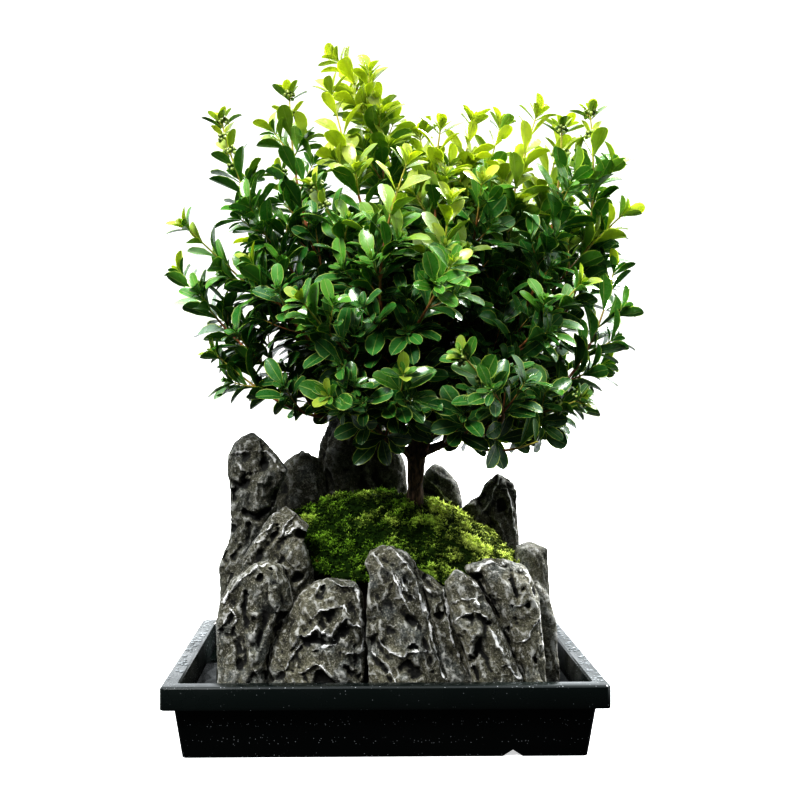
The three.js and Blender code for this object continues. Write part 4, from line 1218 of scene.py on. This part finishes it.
def leaf_tests(leaf):
    points = []
    for share, side in LEAF_TESTS:
        lift = -leaf["curl"] * leaf["length"] * share ** 2
        points.append(
            leaf["root"] + leaf["out"] * leaf["length"] * share
            + leaf["across"] * side * leaf["half"] + leaf["up"] * lift
        )
    return points


def leaf_axes(along, outward, spread, twist, light):
    """Outwards along a leaf, up out of its upper face, and across it. The face turns to the light."""
    out = along * math.cos(spread) + outward * math.sin(spread)
    up = turned(along * math.sin(spread) - outward * math.cos(spread), out, twist) + light * 0.5
    up = unit(up - out * (up @ out))
    return out, up, np.cross(up, out)


def inside(points, above=0.0):
    """Whether all points lie within the CAD's box and above a height."""
    low = np.array(cad_box[0]) / MM + EDGE
    high = np.array(cad_box[1]) / MM - EDGE
    low[2] = max(low[2], above)
    points = np.array(points)
    return bool((points > low).all() and (points < high).all())


def skirt_at(point):
    away = math.hypot(point[0] - TRUNK["x"], point[1] - TRUNK["y"])
    to_right = 0.5 + 0.5 * (point[0] - TRUNK["x"]) / max(1, away)
    return SKIRT["height"] + mix(SKIRT["rise_left"], SKIRT["rise_right"], to_right) * away


def light_at(root):
    """The way that a leaf's face turns: up and out of the crown."""
    flat = np.array([root[0] - TRUNK["x"], root[1] - TRUNK["y"], 0.0])
    flat = unit(flat) if np.linalg.norm(flat) > 1 else np.array([0.0, -1.0, 0.0])
    return flat + np.array([0, 0, 0.7])


def place_leaf(
    spray, root, along, outward, age, length, spread, seed, owner, slim=1.0, own_share=0.62, above=None,
):
    """Adds a leaf where one fits, at its full size or smaller, turned as little as needed."""
    light = light_at(root)
    jitter = [draw(*seed, channel) - 0.5 for channel in range(2, 10)]
    # Painted light and shade: the colour's age falls high in the crown and rises low in it.
    youth_and_light = mix(1, 0.58, float(fade(root[2], *YOUNGER_AND_LIT)))
    shade = age * youth_and_light + float(fade(root[2], *OLDER_AND_SHADED)) * (0.1 + 0.3 * age)
    for shrink in (1, 0.85, 0.7):
        for extra in (0, 0.5, -0.5, 1, -1):
            out, up, across = leaf_axes(along, outward, spread, 0.5 * jitter[2] + extra, light)
            width = slim * LEAF["width"] / LEAF["length"] * (1 + 0.2 * jitter[4])
            leaf = {
                "root": root,
                "out": out,
                "up": up,
                "across": across,
                "length": length * shrink,
                "half": length * shrink * width / 2,
                "curl": 0.1 + 0.22 * (jitter[3] + 0.5),
                "fold": 0.16 + 0.35 * (jitter[5] + 0.5) * (1.5 - age),
                "wave": 0.1 * (jitter[6] + 0.5),
                "phase": 6 * jitter[7],
            }
            tests = leaf_tests(leaf)
            lowest = skirt_at(tests[-1]) if above is None else above
            if inside(tests, lowest) and room.is_free(tests, owner, own_share):
                points, share, side = leaf_points(leaf)
                spray.add(
                    points, LEAF_TRIANGLES, LEAF_UNDER, along=share, across=side,
                    age=shade, tint=draw(*seed, 11), kind=1.0,
                )
                for p in tests:
                    room.claim(p, LEAF_ROOM, owner)
                return True
    return False


def add_stem(spray, bend, radius, sides, steps, ages=(1.0, 0.0)):
    """A tube along a bent line, closed at both ends. radius gives its size at a share of the way."""
    us = np.linspace(0, 1, steps)
    points, age = [], []
    for u in us:
        side, up = bend.axes(u)
        centre = bend.point(u)
        for k in range(sides):
            angle = 2 * math.pi * k / sides
            points.append(centre + radius(u) * around(side, up, angle))
            age.append(mix(*ages, u))
    triangles = []
    for r in range(steps - 1):
        for k in range(sides):
            j = (k + 1) % sides
            a, b = r * sides, (r + 1) * sides
            triangles += [(a + k, a + j, b + j), (a + k, b + j, b + k)]
    last = (steps - 1) * sides
    triangles += [(0, k + 1, k) for k in range(1, sides - 1)]
    triangles += [(last, last + k, last + k + 1) for k in range(1, sides - 1)]
    spray.add(np.array(points), triangles, age=age, kind=0.0)


def add_bud(spray, root, out, size, tint):
    """A round flower bud on a short stalk."""
    points, triangles = dome(size, 1.15, rings=4, sides=6)
    side = unit(np.cross(out, [0.3, 0.1, 1]))
    other = np.cross(out, side)
    turned_points = points[:, :1] * side + points[:, 1:2] * other + points[:, 2:] * out
    centre = root + out * size * 1.7
    height = (points[:, 2] / size + 1) / 2
    spray.add(centre + turned_points, triangles, along=height, tint=tint, kind=2.0)
    stalk = Bend(root, root + out * size * 0.5, root + out * size)
    add_stem(spray, stalk, lambda u: 0.3 * size, sides=4, steps=2, ages=(0.1, 0.0))


def add_bud_cluster(spray, root, out, count, seed):
    """Buds that stand close together in a rounded head on a short stalk."""
    stalk = Bend(root, root + out * 2, root + out * 4)
    add_stem(spray, stalk, lambda u: 0.45, sides=5, steps=3, ages=(0.2, 0.1))
    head = root + out * 3.2
    side = unit(np.cross(out, [0.2, 0.3, 1]))
    other = np.cross(out, side)
    for k in range(count):
        turn = 2.4 * k + draw(seed, k, 31) * 0.5
        tilt = 1.9 * math.sqrt(k / count)
        way = around(out, around(side, other, turn), tilt)
        add_bud(spray, head + way * 0.3, way, 1.25 + 0.45 * draw(seed, k, 32), draw(seed, k, 33))


def add_rosette(spray, bend, seed, owner, size, age=0.0):
    """Tight pairs of slim leaves at a stem's tip, the inner ones the youngest."""
    along = bend.along(1)
    side, up = bend.axes(1)
    for pair in range(ROSETTE["pairs"]):
        turn = pair * math.pi / 2 + 0.4 * draw(seed, pair, 41)
        root = bend.point(1) + along * (pair - 2.2) * 1.5
        for half in (0, math.pi):
            outward = around(side, up, turn + half)
            length = size * (1 - 0.15 * pair) * (0.9 + 0.2 * draw(seed, pair, 42))
            place_leaf(
                spray, root, along, outward, age + 0.06 * (4 - pair), length, 0.85 - 0.15 * pair,
                (seed, 900 + pair * 2 + (half > 0)), owner, slim=0.85, own_share=0.3,
            )


def add_twig(spray, root, along, outward, length, pairs, seed, owner, age):
    """A short side shoot with its own pairs of leaves."""
    way = unit(along * 0.75 + outward * 0.7 + np.array([0, 0, 0.15]))
    lift = np.array([0, 0, 0.35 * length])
    end = root + way * length + lift * 0.4
    bend = Bend(root, root + way * length * 0.5, end)
    probes = [bend.point(u) for u in (0.5, 0.8, 1.0)]
    if not (inside(probes, skirt_at(end) + 6) and room.is_free(probes, owner)):
        return
    add_stem(spray, bend, lambda u: mix(0.75, 0.42, u), sides=5, steps=4, ages=(age, 0.1))
    for u in np.linspace(0.2, 1, 5):
        room.claim(bend.point(u), 1.6, owner)
    for k in range(pairs):
        u = mix(0.35, 0.96, k / max(1, pairs - 1))
        leaf_age = age * (1 - 0.7 * k / pairs)
        side, up = bend.axes(u)
        turn = k * math.pi / 2 + draw(seed, k, 51)
        for half in (0, math.pi):
            ray = around(side, up, turn + half)
            size = LEAF["length"] * mix(0.68, 0.92, leaf_age)
            size *= 0.85 + 0.3 * draw(seed, k * 2 + (half > 0), 52)
            place_leaf(
                spray, bend.point(u) + ray * 0.5, bend.along(u), ray, leaf_age, size,
                mix(0.6, 0.95, leaf_age), (seed, 500 + k * 2 + (half > 0)), owner,
            )
    add_rosette(spray, bend, seed + 70, owner, ROSETTE["on_twig"], 0.35 * age)


def make_spray(index):
    limb, at, tip, marks = SPRAYS[index]
    number = index + 1
    name = f"spray_{number:02d}"
    bend = spray_bend(limb, at, tip, marks)
    spray = Spray()

    def radius(u):
        return mix(STEM["foot"], STEM["tip"], u)

    cad_pairs = max(3, round(bend.length * (1 - STEM["bare"]) / PAIR_PITCH))
    pairs = 2 * (cad_pairs - 1) + 1
    add_stem(spray, bend, radius, sides=6, steps=16)
    turn = math.pi / 4 + (draw(number, 0, 1) - 0.5) * 1.2
    buds = marks.get("buds", 0)
    for j in range(pairs):
        u = mix(STEM["bare"], 1 - 0.7 / bend.length, j / (pairs - 1))
        age = 1 - j / (pairs - 1)
        side, up = bend.axes(u)
        for half in (0, 1):
            angle = turn + math.pi / 4 + (j % 2 + 2 * half) * math.pi / 2
            outward = around(side, up, angle)
            root = bend.point(u) + outward * radius(u) * 0.7
            seed = (number, (j / 2 if j % 2 == 0 else 40 + j) * 4 + (j % 2 + 2 * half))
            in_bud = j >= pairs - 1 - buds
            if buds and in_bud:
                out = unit(outward + bend.along(u) * 0.9)
                add_bud_cluster(spray, root, out, 8 + int(4 * draw(*seed, 21)), number * 50 + j)
            length = LEAF["length"] * mix(0.6, 1, float(fade(age, 0, 0.3)))
            length *= 1 + 0.2 * (draw(*seed, 2) - 0.5)
            length *= 0.85 if buds and in_bud else 1
            spread = mix(0.5, 0.95, age) + 0.3 * (draw(*seed, 3) - 0.5)
            leaf_age = age ** 1.1 * (0.6 if marks.get("young") else 1)
            place_leaf(spray, root, bend.along(u), outward, leaf_age, length, spread, seed, index)
            if age > TWIGS["from_age"] and draw(*seed, 22) < TWIGS["chance"]:
                ray = turned(outward, bend.along(u), 0.6)
                reach = mix(12, 20 + 14 * age, draw(*seed, 23))
                add_twig(
                    spray, bend.point(u), bend.along(u), ray, reach, TWIGS["pairs"],
                    number * 100 + j * 2 + half, index, 0.75 * leaf_age,
                )
    add_rosette(spray, bend, number, index, ROSETTE["on_spray"])
    slot = "leaf_young" if marks.get("young") else "leaf_mature"
    dress(spray.piece(name + "_leafy"), FOLIAGE[slot], slot, name)


def make_inner_shoots(name, number):
    """Leafy shoots that fill the crown round a limb, where the sprays have bare stems."""
    bend = limb_bend(name)
    spray = Spray()
    count = int(bend.length * (1 - INNER_SHOOTS["bare"]) / INNER_SHOOTS["spacing"])
    for k in range(count):
        u = mix(INNER_SHOOTS["bare"], 0.98, k / max(1, count - 1))
        side, up = bend.axes(u)
        angle = k * 2.4 + draw(number, k, 61)
        ray = around(side, up, angle)
        foot = bend.point(u) + ray * limb_radius(name, u) * 0.6
        length = mix(*INNER_SHOOTS["length"], draw(number, k, 62))
        add_twig(
            spray, foot, bend.along(u), ray, length, INNER_SHOOTS["pairs"],
            3000 + number * 40 + k, 100 + number, 1.0,
        )
    if spray.points:
        dress(spray.piece(f"inner_shoots_{number:02d}"), FOLIAGE["leaf_mature"], "leaf_mature")


def make_hanging_leaves():
    """Two pairs of full-grown leaves at the end of each hanging stem."""
    spray = Spray()
    for k, (limb, at, end) in enumerate(HANGING):
        root = limb_bend(limb).point(at)
        end = np.array(end, float)
        bend = Bend(root, mix(root, end, 0.6) + np.array([0, 0, 3]), end)
        add_stem(spray, bend, lambda u: mix(0.7, 0.45, u), sides=6, steps=6, ages=(1.0, 0.5))
        for pair, u in enumerate((0.6, 1.0)):
            side, up = bend.axes(u)
            turn = pair * math.pi / 2 + draw(k, pair, 71)
            for half in (0, math.pi):
                ray = around(side, up, turn + half)
                length = LEAF["length"] * mix(0.75, 1.0, draw(k, pair, 72))
                place_leaf(
                    spray, bend.point(u), bend.along(u), ray, 0.9, length, 0.7,
                    (7000 + k, pair * 2 + (half > 0)), 200 + k, own_share=0.4, above=HANGING_FLOOR,
                )
    dress(spray.piece("hanging_leaves"), FOLIAGE["leaf_mature"], "leaf_mature")


def claim_wood_and_stones():
    for name in LIMBS:
        bend = limb_bend(name)
        for u in np.arange(0, 1, 3 / bend.length):
            room.claim(bend.point(u), 1.2 + limb_radius(name, u), "wood")
    for z in range(120, 226, 3):
        room.claim(leader_at(z), 6, "wood")
    for name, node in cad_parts.items():
        if name.startswith("stone_") or name == "moss_cushion":
            for p in read_points(node.data):
                room.claim(p, 6, "stone")
    for index, (limb, at, tip, marks) in enumerate(SPRAYS):
        bend = spray_bend(limb, at, tip, marks)
        for u in np.arange(6 / bend.length, 1, 2.5 / bend.length):
            room.claim(bend.point(u), 2.0, index)


def make_foliage():
    claim_wood_and_stones()
    for index in range(len(SPRAYS)):
        make_spray(index)
    make_hanging_leaves()
    for number, name in enumerate(LIMBS, 1):
        make_inner_shoots(name, number)


# Studio

# Lights that shine at the plant: place, power, and the sun's angle or the lamp's width.
SUN = ("SUN", (0.85, 0.75, 1.5), 6.8, math.radians(14))
FRONT_LAMP = ("AREA", (-0.75, -0.95, 1.25), 23, 0.5)
AIM = (0, 0, 0.2)
# The soft light: the way from which it is strongest, and its strength against the share of that way.
SOFT_WAY = (0.1, 0.5, 0.86)
SOFT_STRENGTH = {"From Min": -0.35, "From Max": 0.85, "To Min": 0.04, "To Max": 1.7}
FLOOR_HALF = 6.0


def make_studio():
    """A pale floor, a white backdrop, and soft light that comes mostly from above and behind."""
    mesh = bpy.data.meshes.new("floor")
    corners = [(x * FLOOR_HALF, y * FLOOR_HALF, 0) for x, y in ((-1, -1), (1, -1), (1, 1), (-1, 1))]
    mesh.from_pydata(corners, [], [(0, 1, 2, 3)])
    floor = bpy.data.objects.new("floor", mesh)
    bpy.context.scene.collection.objects.link(floor)
    floor.visible_diffuse = False
    floor.visible_glossy = False
    s = Shader("floor")
    s.principled(Base_Color=rgb(0.8, 0.8, 0.8), Roughness=0.9)
    s.principled(Emission_Color=rgb(1, 1, 1), Emission_Strength=0.45)
    mesh.materials.append(s.material)

    world = bpy.data.worlds.new("studio")
    world.use_nodes = True
    tree = world.node_tree
    backdrop = tree.nodes["Background"]
    backdrop.inputs["Color"].default_value = rgb(1, 1, 1)
    way = tree.nodes.new("ShaderNodeTexCoord")
    height = tree.nodes.new("ShaderNodeVectorMath")
    height.operation = "DOT_PRODUCT"
    height.inputs[1].default_value = SOFT_WAY
    tree.links.new(way.outputs["Generated"], height.inputs[0])
    strength = tree.nodes.new("ShaderNodeMapRange")
    strength.interpolation_type = "SMOOTHSTEP"
    for socket, value in SOFT_STRENGTH.items():
        strength.inputs[socket].default_value = value
    tree.links.new(height.outputs["Value"], strength.inputs["Value"])
    soft = tree.nodes.new("ShaderNodeBackground")
    soft.inputs["Color"].default_value = rgb(0.93, 0.97, 1)
    tree.links.new(strength.outputs["Result"], soft.inputs["Strength"])
    path = tree.nodes.new("ShaderNodeLightPath")
    shown = tree.nodes.new("ShaderNodeMixShader")
    tree.links.new(path.outputs["Is Camera Ray"], shown.inputs[0])
    tree.links.new(soft.outputs[0], shown.inputs[1])
    tree.links.new(backdrop.outputs[0], shown.inputs[2])
    tree.links.new(shown.outputs[0], tree.nodes["World Output"].inputs[0])
    bpy.context.scene.world = world

    add_light("sun", *SUN)
    add_light("front", *FRONT_LAMP)


def add_light(name, kind, place, power, size):
    light = bpy.data.lights.new(name, kind)
    if kind == "SUN":
        light.angle = size
    else:
        light.size = size
    light.energy = power
    lamp = bpy.data.objects.new(name, light)
    lamp.location = place
    lamp.rotation_euler = (Vector(AIM) - Vector(place)).to_track_quat("-Z", "Y").to_euler()
    bpy.context.scene.collection.objects.link(lamp)


def make_camera():
    data = bpy.data.cameras.new("camera")
    data.lens = CAMERA["lens"]
    data.sensor_width = CAMERA["sensor"]
    data.shift_x = CAMERA["shift"]
    camera = bpy.data.objects.new("camera", data)
    camera.location = Vector(CAMERA["place"]) * MM
    camera.rotation_euler = (math.radians(90 - CAMERA["down"]), 0, math.radians(-CAMERA["right"]))
    bpy.context.scene.collection.objects.link(camera)
    bpy.context.scene.camera = camera


def set_colours():
    """Plain colours with the photo's strong contrast."""
    settings = bpy.context.scene.view_settings
    settings.view_transform = "Standard"
    settings.look = "High Contrast"


FOLIAGE = {
    "leaf_mature": foliage_material("leaf_mature", young=False),
    "leaf_young": foliage_material("leaf_young", young=True),
}
make_camera()
make_studio()
make_tray()
make_water()
make_droplets()
make_stones()
make_soil()
make_moss()
make_wood()
make_foliage()
set_colours()
